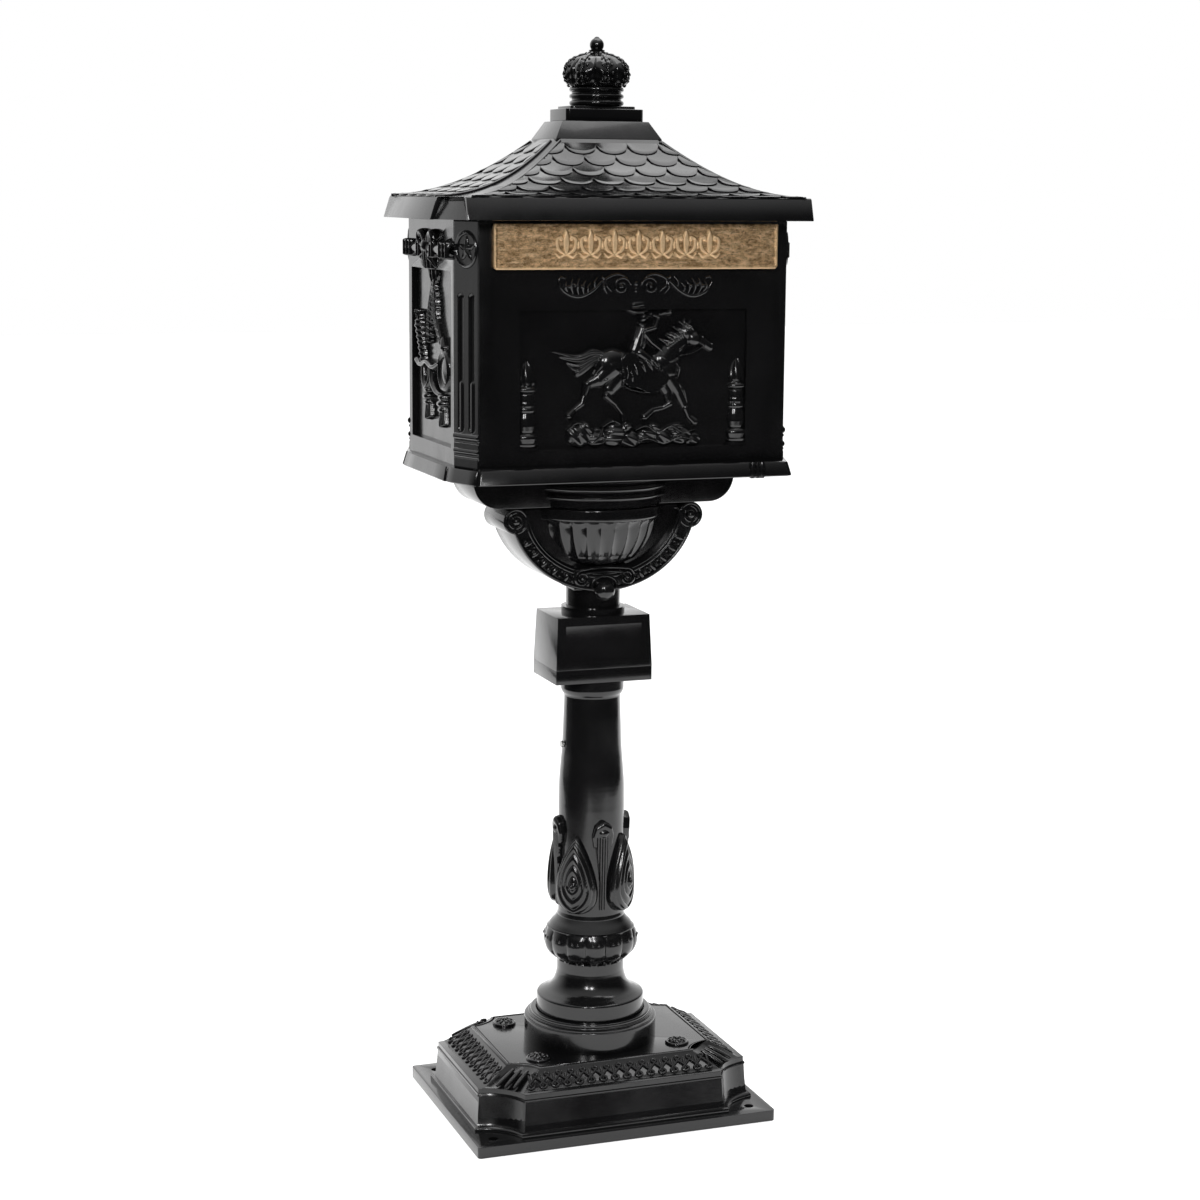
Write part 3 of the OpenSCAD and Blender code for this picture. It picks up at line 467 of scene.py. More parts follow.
def bead(shape, centre, radii, out=(0, 0, 1), rows=7, count=12, rise=0.0):
    """A rounded bead: an ellipsoid with its last radius along a direction."""
    out = Vector(out).normalized()
    turn = np.array(out.to_track_quat("Z", "Y").to_matrix())
    tilt = np.linspace(-np.pi / 2, np.pi / 2, rows)
    angles = np.arange(count) * 2 * np.pi / count
    turns, tilts = np.meshgrid(angles, tilt)
    ball = np.stack([np.cos(tilts) * np.cos(turns), np.cos(tilts) * np.sin(turns), np.sin(tilts)], -1)
    points = (ball * np.asarray(radii)).reshape(-1, 3) @ turn.T + np.asarray(centre)
    shape.add(points, grid_faces(rows, count, True), rise)


def prism(shape, outline, place, low, high):
    """A solid with a flat outline. place(u, v, w) puts its points; w goes from low to high."""
    n = len(outline)
    points = [place(u, v, w) for w in (low, high) for u, v in outline]
    faces = [tuple(range(n - 1, -1, -1)), tuple(range(n, 2 * n))]
    faces += [(j, (j + 1) % n, n + (j + 1) % n, n + j) for j in range(n)]
    shape.add(points, faces)


def loft(shape, rings, closed=True):
    """A skin over outlines of equally many points, each an array of 3-D points."""
    n = len(rings[0])
    faces = grid_faces(len(rings), n, True)
    if closed:
        last = (len(rings) - 1) * n
        faces.append(tuple(range(n - 1, -1, -1)))
        faces.append(tuple(range(last, last + n)))
    shape.add(np.concatenate(rings), faces)


def relief(shape, place, width, height, step, rise_of, sunk=0.4, wear_and_highlight_of=None):
    """Raised figures on a surface. rise_of(u, v) is their height, at or under zero beside them, and
    place(u, v, w) puts a point at a height w off the surface. The last argument gives how much brighter each point
    is painted: rubbed wear and painted highlight."""
    across = np.linspace(-width / 2, width / 2, int(width / step) + 1)
    up = np.linspace(0, height, int(height / step) + 1)
    u, v = np.meshgrid(across, up)
    rise = rise_of(u, v)
    raised = rise > 0
    cell = raised[:-1, :-1] | raised[:-1, 1:] | raised[1:, :-1] | raised[1:, 1:]
    used = np.zeros_like(raised)
    for di in (0, 1):
        for dj in (0, 1):
            used[di : di + cell.shape[0], dj : dj + cell.shape[1]] |= cell
    front = np.full(u.shape, -1)
    front[used] = np.arange(used.sum())
    back = front.copy()
    back[raised] = used.sum() + np.arange(raised.sum())
    tops = place(u[used], v[used], np.where(raised[used], rise[used], -sunk))
    backs = place(u[raised], v[raised], np.full(raised.sum(), -sunk))
    rows, columns = np.nonzero(cell)
    corners = (rows, columns), (rows, columns + 1), (rows + 1, columns + 1), (rows + 1, columns)
    faces = np.stack([front[at] for at in corners], -1).tolist()
    faces += np.stack([back[at] for at in reversed(corners)], -1).tolist()
    # Painted highlight with rubbed wear: how much brighter each point of the brass is made.
    brightened = wear_and_highlight_of(u, v) if wear_and_highlight_of else np.zeros_like(rise)
    lift = np.concatenate([brightened[used], np.zeros(raised.sum())])
    shape.add(np.concatenate([tops, backs]), faces, lift)


# Heights of simple figures over a plane, for relief()


def limb(u, v, points, radii, flat=1.0):
    """Height of a rounded limb along a line of points with a radius at each."""
    best = np.full(u.shape, -1.0)
    for (p, q), (r0, r1) in zip(zip(points[:-1], points[1:]), zip(radii[:-1], radii[1:])):
        along = np.subtract(q, p)
        length = max(float(along @ along), 1e-9)
        t = np.clip(((u - p[0]) * along[0] + (v - p[1]) * along[1]) / length, 0, 1)
        far = np.hypot(u - p[0] - t * along[0], v - p[1] - t * along[1])
        radius = r0 + (r1 - r0) * t
        height = np.sqrt(np.maximum(radius**2 - far**2, 0)) * flat
        best = np.maximum(best, np.where(far < radius, height, -1))
    return best


def curl(u, v, points, radii, flat=1.0, count=6):
    """Height of a smooth tapered stroke through points."""
    path = flowing(points, count)
    spread = np.interp(np.linspace(0, 1, len(path)), np.linspace(0, 1, len(radii)), radii)
    return limb(u, v, path, spread, flat)


def mound(u, v, centre, radii, angle=0.0, height=1.0):
    """Height of a rounded oval mound."""
    c, s = math.cos(math.radians(angle)), math.sin(math.radians(angle))
    x = ((u - centre[0]) * c + (v - centre[1]) * s) / radii[0]
    y = (-(u - centre[0]) * s + (v - centre[1]) * c) / radii[1]
    d = 1 - x * x - y * y
    return np.where(d > 0, np.sqrt(np.maximum(d, 0)) * height, -1)


def joined(*heights):
    """The greatest of several heights."""
    best = heights[0]
    for h in heights[1:]:
        best = np.maximum(best, h)
    return best


def figure(u, v, limbs=(), curls=(), mounds=()):
    """Greatest height of many strokes and mounds, each given by what limb(), curl() or mound() takes."""
    parts = [limb(u, v, *stroke) for stroke in limbs]
    parts += [curl(u, v, *stroke) for stroke in curls]
    parts += [mound(u, v, *lump) for lump in mounds]
    return joined(*parts)


def melted(first, second, soft=1.0):
    """Two figures run together, with a soft crease where they meet."""
    gap = np.maximum(soft - np.abs(first - second), 0) / soft
    both = (first > 0) & (second > 0)
    return np.maximum(first, second) + np.where(both, gap * gap * soft * 0.25, 0)


# ---------------------------------------------------------------- post

post_low = span("post_foot")[0][2]
foot_top = span("post_foot")[1][2]
knop_top = span("post_knop")[1][2]
shaft_top = span("post_shaft")[1][2]
socket_low, socket_high = span("socket_ring")
foot_r = span("post_foot")[1][0]
knop_r = span("post_knop")[1][0]
socket_r = socket_high[0]
# Radii of the post at its neck, at the leaves and near the top
NECK_R = 36.7
SHAFT_R = 35.8
SHAFT_TOP_R = 30.4


def make_socket():
    """Stepped ring on the base that the post's foot stands in."""
    shape = Shape()
    z0, z1 = socket_low[2], socket_high[2]
    recess = foot_r + 0.8
    floor_z = post_low - 0.4
    outline = [(socket_r - 8, z0), (socket_r, z0), (socket_r, z1 - 8.6)]
    outline += arc((socket_r - 0.9, z1 - 8.6), 0.9, 0, 90, 4)
    outline += [(socket_r - 1.6, z1 - 7.5), (socket_r - 1.6, z1 - 6.2), (socket_r - 4.6, z1 - 5.4)]
    outline += arc((socket_r - 5.6, z1 - 4.6), 1.2, 0, 90, 4)
    outline += [(socket_r - 6.6, z1 - 3.2), (socket_r - 6.6, z1 - 1.6)]
    outline += arc((socket_r - 8.2, z1 - 1.6), 1.6, 0, 90, 4)
    outline += [(recess + 0.6, z1), (recess, z1 - 0.6), (recess, floor_z), (4, floor_z)]
    revolve(shape, outline, 128, step=3)
    shape.make("socket_ring_turned", replaces=("socket_ring",))


def make_foot():
    """Foot disc with a rounded shoulder that sweeps up into the neck."""
    shape = Shape()
    z0 = post_low
    outline = [(foot_r - 5, z0), (foot_r - 1, z0), (foot_r, z0 + 1)]
    outline += [(foot_r, z0 + 23.4), (foot_r - 0.4, z0 + 24.4), (foot_r - 1.2, z0 + 25.1)]
    sweep = [(foot_r - 2.2, z0 + 25.5), (foot_r - 7, z0 + 28), (NECK_R + 8.6, z0 + 32)]
    sweep += [(NECK_R + 3.8, z0 + 38), (NECK_R + 1.0, z0 + 46), (NECK_R, z0 + 52)]
    outline += smooth(sweep, 6) + [(NECK_R, foot_top)]
    revolve(shape, outline, 128)
    shape.make("post_foot_turned", replaces=("post_foot",))


KNOP_LOBES = 14


def make_knop():
    """Ring of cushion lobes with pointed lower ends, under a plain flare that narrows to the shaft."""
    shape = Shape()
    z0, high = foot_top, knop_top - foot_top
    rim = z0 + high * 0.74
    outline = [(NECK_R, z0), (NECK_R, z0 + 2)]
    bulge = [(NECK_R + 0.8, z0 + 3.5), (knop_r - 7.6, z0 + high * 0.155), (knop_r - 2.2, z0 + high * 0.29)]
    bulge += [(knop_r, z0 + high * 0.46), (knop_r - 1.4, z0 + high * 0.62), (knop_r - 4.2, rim)]
    outline += smooth(bulge, 9)
    outline += [(knop_r - 5.6, rim + 0.7)]
    flare = [(knop_r - 5.4, rim + 1.4), (knop_r - 8.2, z0 + high * 0.84)]
    flare += [(NECK_R + 3.0, z0 + high * 0.92), (NECK_R, z0 + high)]
    outline += smooth(flare, 6)

    def lobed(turn, z):
        wave = np.abs(np.cos(turn * KNOP_LOBES / 2))
        t = np.clip((z - z0 - 3) / (rim - z0 - 3), 0, 1)
        crease = 2.9 * (1 - wave**0.45) * np.sin(np.pi * t) ** 0.5
        point = np.clip(1 - (t - 0.02) / 0.2, 0, 1) * (1 - wave**1.2) * 4.2
        return np.where((z > z0 + 2.5) & (z < rim + 0.3), -crease - point, 0)

    revolve(shape, outline, 320, lobed, step=1.0)
    for k in range(KNOP_LOBES):
        for side in (-0.062, 0.062):
            a = 2 * math.pi * k / KNOP_LOBES + side
            out = (math.cos(a), math.sin(a), 0.1)
            place = ((knop_r - 1.0) * math.cos(a), (knop_r - 1.0) * math.sin(a), z0 + high * 0.56)
            bead(shape, place, (1.5, 2.1, 1.5), out)
    shape.make("post_knop_lobed", replaces=("post_knop",))


def make_shaft():
    """Tapered shaft with a flared top."""
    shape = Shape()
    z0 = knop_top
    h = shaft_top - z0
    outline = [(NECK_R, z0), (NECK_R, z0 + 2), (SHAFT_R, z0 + 4), (SHAFT_R, z0 + h * 0.44)]
    taper = [(SHAFT_R, z0 + h * 0.46), (SHAFT_R - 0.4, z0 + h * 0.56), (SHAFT_R - 2.2, z0 + h * 0.65)]
    taper += [(SHAFT_TOP_R + 1.8, z0 + h * 0.72), (SHAFT_TOP_R + 0.2, z0 + h * 0.88)]
    taper += [(SHAFT_TOP_R - 0.2, z0 + h - 20)]
    outline += smooth(taper, 5)
    outline += arc((SHAFT_TOP_R + 3.6, z0 + h - 19.6), 3.4, 180, 130, 4)
    top_r = SHAFT_TOP_R + 3.6
    outline += [(top_r - 1, z0 + h - 15), (top_r, z0 + h - 12), (top_r, z0 + h)]
    revolve(shape, outline, 128)
    shape.make("post_shaft_turned", replaces=("post_shaft",))


LEAF_TURN = 90.0
LEAF_HEIGHT = 85.0
HOOD = [(-9.8, 76), (-10.2, 86), (-6.8, 95), (0, 98.6), (6.8, 95), (10.2, 86), (9.8, 76)]


def make_leaf_collar():
    """Four nested-teardrop leaves on the diagonals, with curled tips over fluted stems between them."""
    shape = Shape()
    z0 = knop_top + 8.5

    def wrap(u, v, w):
        """u in degrees round the post, v above the collar's foot, w off the shaft."""
        a = np.radians(u)
        return np.stack([(SHAFT_R + w) * np.cos(a), (SHAFT_R + w) * np.sin(a), z0 + v], -1)

    to_mm = math.radians(1) * (SHAFT_R + 6)

    def rise(u, v):
        x = (np.mod(u, LEAF_TURN) - LEAF_TURN / 2) * to_mm
        t = np.clip(v / LEAF_HEIGHT, 0.001, 0.999)
        half = 30.5 * np.sin(np.pi * t**0.66) ** 0.56 * (1 - 0.36 * t)
        # nested outlines: the distance in from the leaf's edge, measured towards its eye
        eye = np.hypot(x / 0.72, (v - 33) * np.where(v > 33, 0.62, 1.25))
        edge = np.where((v > 0) & (v < LEAF_HEIGHT), half - np.abs(x), -1)
        within = edge > 0
        share = np.clip(eye / (eye + np.maximum(edge, 0) * 1.15 + 0.01), 0, 1)
        rings = np.abs(np.sin(share * np.pi * 5.0)) ** 0.75
        fullness = np.sin(np.pi * np.clip(0.12 + 0.8 * t**0.62, 0, 1)) ** 0.7
        belly = 9.2 * np.clip(edge / 8.0, 0, 1) ** 0.5 * fullness
        leaf = np.where(within, 0.9 + belly + rings * 1.9 * np.clip(edge / 2.5, 0, 1), -1)
        seed = mound(x, v, (0, 31), (3.6, 5.5), 0, 3.2)
        leaf = np.where(seed > 0, leaf + seed * 0.6, leaf)
        y = (np.mod(u + LEAF_TURN / 2, LEAF_TURN) - LEAF_TURN / 2) * to_mm
        fan = 3.6 + 6.6 * np.clip((v - 34) / 48, 0, 1) ** 1.3
        within = (np.abs(y) < fan) & (v > 4) & (v < 92)
        stem = np.where(within, 2.4 + 1.5 * np.abs(np.cos(y * 1.05)) + v * 0.03, -1)
        hood = limb(y, v, HOOD, [2.0, 3.4, 4.2, 4.8, 4.2, 3.4, 2.0])
        hood = np.where(hood > 0, hood + 3.0, -1)
        tip = mound(y, v, (0, 90), (7.6, 7.0), 0, 8.4)
        return joined(leaf, stem, hood, tip)

    relief(shape, wrap, 360, 104, 0.8, rise, 0.3)
    shape.make("acanthus_collar_cast", replaces=("acanthus_collar",), sharp=75)


make_socket()
make_foot()
make_knop()
make_shaft()
make_leaf_collar()

# ---------------------------------------------------------------- base

base_high = span("base_casting")[1]
# Heights of the base's steps, then half sizes of each step across and from front to back
PLATE_T = 12.0
PLINTH_TOP = 49.0
LIP_TOP = 56.5
PLATEAU_Z = base_high[2]
PLINTH = (154.0, 115.0)
LIP = (152.0, 111.0)
BAND_FOOT = (145.0, 104.0)
PLATEAU = (115.0, 84.5)
BAND_LOW = LIP_TOP + 0.4
BAND_TOP = PLATEAU_Z - 2.4
TONGUE_PITCH = 13.4
LOOP_POINTS = 9
CORNERS = [(sx, sy) for sx in (-1, 1) for sy in (-1, 1)]


def scooped(half, cut, count=14):
    """Corners (x, y) of a rectangle whose corners are cut by curves that bend inwards."""
    (hx, hy), (cx, cy) = half, cut
    t = np.linspace(0, 1, count)
    a, b, c = (1 - t) ** 2, 2 * t * (1 - t), t**2
    x = a * hx + b * (hx - 0.78 * cx) + c * (hx - cx)
    y = a * (hy - cy) + b * (hy - 0.78 * cy) + c * hy
    quarter = np.column_stack([x, y])
    left, right = (quarter * (-1, 1))[::-1], (quarter * (1, -1))[::-1]
    return np.concatenate([quarter, left, quarter * (-1, -1), right])


def octagon(half, cut):
    """Corners (x, y) of a rectangle whose corners are cut off straight."""
    quarter = [(half[0], half[1] - cut[1]), (half[0] - cut[0], half[1])]
    left = [(-x, y) for x, y in reversed(quarter)]
    back = [(-x, -y) for x, y in quarter]
    right = [(x, -y) for x, y in reversed(quarter)]
    return np.array(quarter + left + back + right)


def lifted(outline, z):
    """A flat outline laid at a height."""
    return np.column_stack([outline, np.full(len(outline), z)])


def inset(half, by):
    """Half sizes made smaller on every side."""
    return (half[0] - by, half[1] - by)


def make_base():
    """Bolted plate, hollow stepped wall with a foot moulding, a three-step lip and a sloping band."""
    shape = Shape()
    wall_cut, band_cut, top_cut = (41, 35), (34, 28), (29, 22)
    steps = [
        (inset(PLINTH, -4.5), wall_cut, PLATE_T - 1),
        (inset(PLINTH, -4.5), wall_cut, PLATE_T + 2.6),
        (inset(PLINTH, -3.6), wall_cut, PLATE_T + 4.2),
        (inset(PLINTH, -0.9), wall_cut, PLATE_T + 5.2),
        (inset(PLINTH, 0), wall_cut, PLATE_T + 7),
        (LIP, wall_cut, PLINTH_TOP - 2),
        (inset(LIP, -0.9), wall_cut, PLINTH_TOP - 1),
        (inset(LIP, -1.4), wall_cut, PLINTH_TOP + 0.5),
        (inset(LIP, -0.9), wall_cut, PLINTH_TOP + 2),
        (inset(LIP, 0.8), wall_cut, PLINTH_TOP + 2.4),
        (inset(LIP, 1.2), wall_cut, PLINTH_TOP + 4.3),
        (inset(LIP, 2.0), wall_cut, PLINTH_TOP + 4.9),
        (inset(LIP, 3.6), (38, 32), PLINTH_TOP + 5.1),
        (inset(LIP, 4.2), (38, 32), PLINTH_TOP + 7.2),
        (inset(LIP, 4.8), (37, 31), LIP_TOP + 0.2),
        (BAND_FOOT, band_cut, BAND_LOW),
        (inset(PLATEAU, -3.2), (30, 23), BAND_TOP),
        (inset(PLATEAU, -2.4), (30, 23), PLATEAU_Z - 0.7),
        (inset(PLATEAU, -1.2), (29.5, 22.5), PLATEAU_Z),
        (inset(PLATEAU, 2.2), top_cut, PLATEAU_Z),
        (inset(PLATEAU, 3.0), top_cut, PLATEAU_Z - 0.8),
        (inset(PLATEAU, 22), (20, 14), PLATEAU_Z - 0.8),
    ]
    hollow = [
        (inset(PLATEAU, 22), (20, 14), PLATEAU_Z - 6),
        (inset(PLATEAU, 8), (29, 22), PLATEAU_Z - 7),
        (inset(BAND_FOOT, 8), band_cut, LIP_TOP - 4),
        (inset(LIP, 6), wall_cut, PLINTH_TOP - 6),
        (inset(LIP, 6), wall_cut, PLATE_T - 1),
    ]
    outer = [lifted(scooped(half, cut), z) for half, cut, z in steps]
    inner = [lifted(scooped(half, cut), z) for half, cut, z in hollow]
    rings = outer + inner
    n = len(rings[0])
    faces = grid_faces(len(rings), n, True)
    middle = len(outer) - 1
    faces = [f for f in faces if f[0] // n != middle]
    faces.append(tuple(range(middle * n, (middle + 1) * n)))
    faces.append(tuple(range((middle + 2) * n - 1, (middle + 1) * n - 1, -1)))
    last = (len(rings) - 1) * n
    faces += [(last + j, last + (j + 1) % n, (j + 1) % n, j) for j in range(n)]
    shape.add(np.concatenate(rings), faces)
    shape.make("base_wall_cast", sharp=40)
    softened("base_casting", 0.8)


def band_point(side, along, share, out=0.0):
    """A point on the sloping band, on side 0 front, 1 right, 2 back or 3 left, a share of the way up."""
    axis = 1 - side % 2
    foot, rim = BAND_FOOT[axis], PLATEAU[axis] + 3.2
    run, climb = foot - rim, BAND_TOP - BAND_LOW
    reach = foot - run * share
    z = BAND_LOW + climb * share
    length = math.hypot(run, climb)
    reach += out * climb / length
    z += out * run / length
    x, y = along, -reach
    for _ in range(side):
        x, y = -y, x
    return (x, y, z)


def make_band_ornament():
    """A looping ridge of tongues round the band, with three straight tongues at each corner."""
    shape = Shape()
    turns = np.radians(np.linspace(180, 0, LOOP_POINTS))
    for side in range(4):
        half = (BAND_FOOT[0] - 37) if side % 2 == 0 else (BAND_FOOT[1] - 31)
        tongues = int(round(2 * half / TONGUE_PITCH))
        pitch = 2 * half / tongues
        normal = np.subtract(band_point(side, 0, 0.5, 1), band_point(side, 0, 0.5, 0))
        path = []
        for k in range(tongues):
            middle = -half + pitch * (k + 0.5)
            for a in turns:
                path.append((middle - pitch * 0.29 * math.cos(a), 0.24 - 0.14 * math.sin(a)))
            for a in turns:
                path.append((middle + pitch * (0.5 - 0.21 * math.cos(a)), 0.78 + 0.1 * math.sin(a)))
        loop = [band_point(side, x, share, 0.5) for x, share in path[:-LOOP_POINTS]]
        tube(shape, loop, 1.35, 8, normal, 1.1)
        swell = 1.5 * np.sin(np.linspace(0.35, 2.9, 7)) ** 0.7 + 0.2
        for k in range(tongues):
            middle = -half + pitch * (k + 0.5)
            leaf = [band_point(side, middle, share, 0.2) for share in np.linspace(0.2, 0.82, 7)]
            tube(shape, leaf, swell, 8, normal, 0.7)
    swell = 2.7 * np.clip(np.sin(np.linspace(0.25, 2.9, 12)), 0, 1) ** 0.35
    for sx, sy in CORNERS:
        for k in (-1, 0, 1):
            foot = np.array([BAND_FOOT[0] - 17.5 - 7.5 * k, BAND_FOOT[1] - 14.0 + 6.2 * k, LIP_TOP + 2.0])
            rim = np.array([PLATEAU[0] - 11.5 - 6.2 * k, PLATEAU[1] - 8.2 + 4.8 * k, PLATEAU_Z - 2.2])
            path = np.array([foot + (rim - foot) * s for s in np.linspace(0.05, 0.92, 12)]) * (sx, sy, 1)
            out = np.array([sx * 0.35, sy * 0.45, 0.82])
            tube(shape, path, swell, 10, out, 0.85)
    rim = lifted(scooped(inset(PLATEAU, 0.4), (29.2, 22.2)), PLATEAU_Z - 0.1)
    tube(shape, rim, 0.8, 6, (0, 0, 1), closed=True)
    shape.make("base_band_ornament", sharp=60)


def make_rosettes():
    """Domed rosettes with a ring of petals round a button."""
    low, high = span("base_rosettes")
    radius = 13.0
    cx, cy = high[0] - radius, high[1] - radius
    z0 = low[2] - 0.8
    one = Shape()
    outline = [(radius, z0), (radius, z0 + 2.2), (radius - 0.8, z0 + 3.3), (radius - 2.2, z0 + 3.6)]
    outline += [(radius - 2.9, z0 + 3.0), (radius * 0.62, z0 + 4.6), (radius * 0.3, z0 + 5.6)]
    outline.append((1.0, z0 + 5.9))
    revolve(one, outline, 48, step=1.5)
    for a in np.arange(8) * math.pi / 4:
        out = (0.25 * math.cos(a), 0.25 * math.sin(a), 1)
        place = (6.6 * math.cos(a), 6.6 * math.sin(a), z0 + 4.9)
        bead(one, place, (2.0, 3.2, 1.5), out, count=10)
    bead(one, (0, 0, z0 + 5.8), (3.2, 3.2, 2.1))
    shape = Shape()
    for sx, sy in CORNERS:
        shape.add(np.concatenate(one.points) + (sx * cx, sy * cy, 0), one.faces)
    shape.make("base_rosettes_petalled", replaces=("base_rosettes",), sharp=60)


# ---------------------------------------------------------------- roof and finial

roof_low, roof_high = span("roof_casting")
# The roof's heights, then half sizes of its slope and the corner cuts, across and from front to back
EAVE_HEIGHT = 22.5
ROOF_RISE = 58.5
EAVE_TOP = roof_low[2] + EAVE_HEIGHT
ROOF_TOP = EAVE_TOP + ROOF_RISE
EAVE = roof_high[:2]
SLOPE_FOOT = (EAVE[0] - 6.9, EAVE[1] - 6.9)
SLOPE_TOP = (57.8, 40.2)
EAVE_CUT = (20.4, 56.4)
HIP_CUT = (5.0, 9.5)
CROWN_RIBS = 8


def slope_half(axis, t):
    """Half width of the roof across an axis, t from 0 at the seat to 1 at the eave."""
    return SLOPE_TOP[axis] + (SLOPE_FOOT[axis] - SLOPE_TOP[axis]) * t


def slope_z(t):
    """Height of the concave roof."""
    return EAVE_TOP + ROOF_RISE * (1 - t) ** 2


def hip_cut(axis, t):
    """How much of a corner the hip's band takes, growing to the eave's chamfer."""
    return HIP_CUT[axis] + (EAVE_CUT[axis] - HIP_CUT[axis]) * t**1.9


def slope_point(axis, side, u, t, out):
    """A point on a slope that faces along an axis (1 for front and back, 0 for the sides)."""
    reach = slope_half(axis, t)
    z = slope_z(t)
    run = SLOPE_FOOT[axis] - SLOPE_TOP[axis]
    climb = -2 * ROOF_RISE * (1 - t)
    length = np.hypot(run, climb)
    reach = reach - climb / length * out
    z = z + run / length * out
    return (u, side * reach, z) if axis == 1 else (side * reach, u, z)


def slope_shares(axis, rows):
    """Shares of the slope that divide its length into equal rows."""
    t = np.linspace(0, 1, 400)
    x, z = slope_half(axis, t), slope_z(t)
    length = np.concatenate([[0], np.cumsum(np.hypot(np.diff(x), np.diff(z)))])
    return np.interp(np.linspace(0, length[-1], rows + 1), length, t)


def make_roof_body():
    """The concave roof skin with wide hip bands, over the eave's fascias."""
    rings = []
    for t in np.linspace(1, 0, 30):
        half = (slope_half(0, t), slope_half(1, t))
        cut = (hip_cut(0, t), hip_cut(1, t))
        rings.append(lifted(octagon(half, cut), slope_z(t)))
    recess = 3.4
    foot = octagon(EAVE, EAVE_CUT)
    under = foot - recess * np.sign(foot)
    rim = rings[0][:, :2]
    crown = rim - recess * np.sign(rim)
    skin = [
        lifted(under * 0.8, roof_low[2] + 3.6),
        lifted(under * 0.985, roof_low[2] + 3.4),
        lifted(under, roof_low[2] + 0.3),
        lifted(crown, EAVE_TOP - 2.0),
        lifted(rim * 0.995, EAVE_TOP - 0.2),
    ]
    shape = Shape()
    loft(shape, skin + rings)
    shape.make("roof_skin", replaces=("roof_casting",), sharp=25)
    plates = Shape()
    for axis in (0, 1):
        half = EAVE[1 - axis] - EAVE_CUT[1 - axis] - 1.5
        section = [
            (EAVE[axis], roof_low[2]),
            (SLOPE_FOOT[axis] + 0.2, EAVE_TOP - 1.2),
            (SLOPE_FOOT[axis] - 1.4, EAVE_TOP + 0.4),
            (SLOPE_FOOT[axis] - 9, EAVE_TOP + 0.4),
            (SLOPE_FOOT[axis] - 9, EAVE_TOP - 6),
            (EAVE[axis] - 9, roof_low[2] + 4),
            (EAVE[axis] - 5, roof_low[2]),
        ]
        for side in (-1, 1):
            place = (lambda u, v, w: (w, side * u, v)) if axis == 1 else (lambda u, v, w: (side * u, w, v))
            prism(plates, section, place, -half, half)
    plates.make("eave_fascias", sharp=30, bevel=1.1)


TONGUE_ROWS = 7
TONGUE_WIDTH = 34.0


def tongue(shape, axis, side, centre, width, t0, t1, t2, limit):
    """One fish-scale shingle, with its head at t0, the end of its sides at t1 and its round tip at t2."""
    columns, rows = 13, 8
    top, base = [], []
    for share in np.linspace(0, 1, rows):
        for a in np.linspace(-1, 1, columns):
            end = t1 + (t2 - t1) * math.sqrt(max(1 - a * a, 0))
            t = t0 + (end - t0) * share
            stop = limit(t)
            u = min(max(centre + a * width / 2, -stop), stop)
            lift = (0.5 + 2.3 * share) * (1 - 0.16 * a * a)
            edge = 0.75 if share == 1 or abs(a) == 1 else 1.0
            top.append(slope_point(axis, side, u, t, lift * edge))
            base.append(slope_point(axis, side, u, t, -0.8))
    n = rows * columns
    faces = grid_faces(rows, columns)
    faces += [tuple(n + i for i in reversed(f)) for f in grid_faces(rows, columns)]
    rim = list(range(columns)) + [(r + 1) * columns - 1 for r in range(1, rows)]
    rim += [(rows - 1) * columns + j for j in range(columns - 2, -1, -1)]
    rim += [r * columns for r in range(rows - 2, 0, -1)]
    faces += [(a, b, n + b, n + a) for a, b in zip(rim, rim[1:] + rim[:1])]
    shape.add(np.array(top + base), faces)


def make_shingles():
    """Rows of fish-scale shingles on each slope, each row half a shingle over from the last."""
    for axis, name in ((1, "front_back"), (0, "sides")):
        shape = Shape()
        rows = TONGUE_ROWS + (1 if axis == 0 else 0)
        shares = slope_shares(axis, rows)

        def limit(t):
            return slope_half(1 - axis, t) - hip_cut(1 - axis, t) - 2.6

        for side in (-1, 1):
            for k in range(rows):
                step = shares[k + 1] - shares[k]
                t0 = max(shares[k] - 0.02, 0.035)
                t1 = min(shares[k] + step * 0.55, 0.98)
                t2 = min(shares[k] + step * 1.32, 0.992)
                widest = limit(t2)
                offset = TONGUE_WIDTH / 2 if k % 2 else 0.0
                reach = int(widest / TONGUE_WIDTH) + 1
                for m in range(-reach, reach + 1):
                    centre = m * TONGUE_WIDTH + offset
                    if abs(centre) - TONGUE_WIDTH / 2 < widest - 2.5:
                        tongue(shape, axis, side, centre, TONGUE_WIDTH - 0.5, t0, t1, t2, limit)
        shape.make("shingles_" + name, sharp=50)
    edges = Shape()
    t = np.linspace(0.02, 1, 26)
    for sx, sy in CORNERS:
        for axis in (0, 1):
            stop = slope_half(1 - axis, t) - hip_cut(1 - axis, t) - 1.2
            side, other = (sy, sx) if axis == 1 else (sx, sy)
            path = np.array([slope_point(axis, side, other * s, v, 0.5) for s, v in zip(stop, t)])
            normal = (0, side * 0.5, 0.87) if axis == 1 else (side * 0.5, 0, 0.87)
            tube(edges, path, 1.5, 8, normal)
    edges.make("hip_edges", sharp=60)


def make_seat():
    """Plain bevelled seat on the roof for the finial's plinth."""
    shape = Shape()
    steps = ((SLOPE_TOP, ROOF_TOP - 2), (SLOPE_TOP, ROOF_TOP + 0.4), (inset(SLOPE_TOP, 10.8), roof_high[2]))
    rings = []
    for (x, y), z in steps:
        rings.append(lifted(np.array([(x, -y), (x, y), (-x, y), (-x, -y)]), z))
    loft(shape, rings)
    shape.make("roof_seat", sharp=30, bevel=0.7)


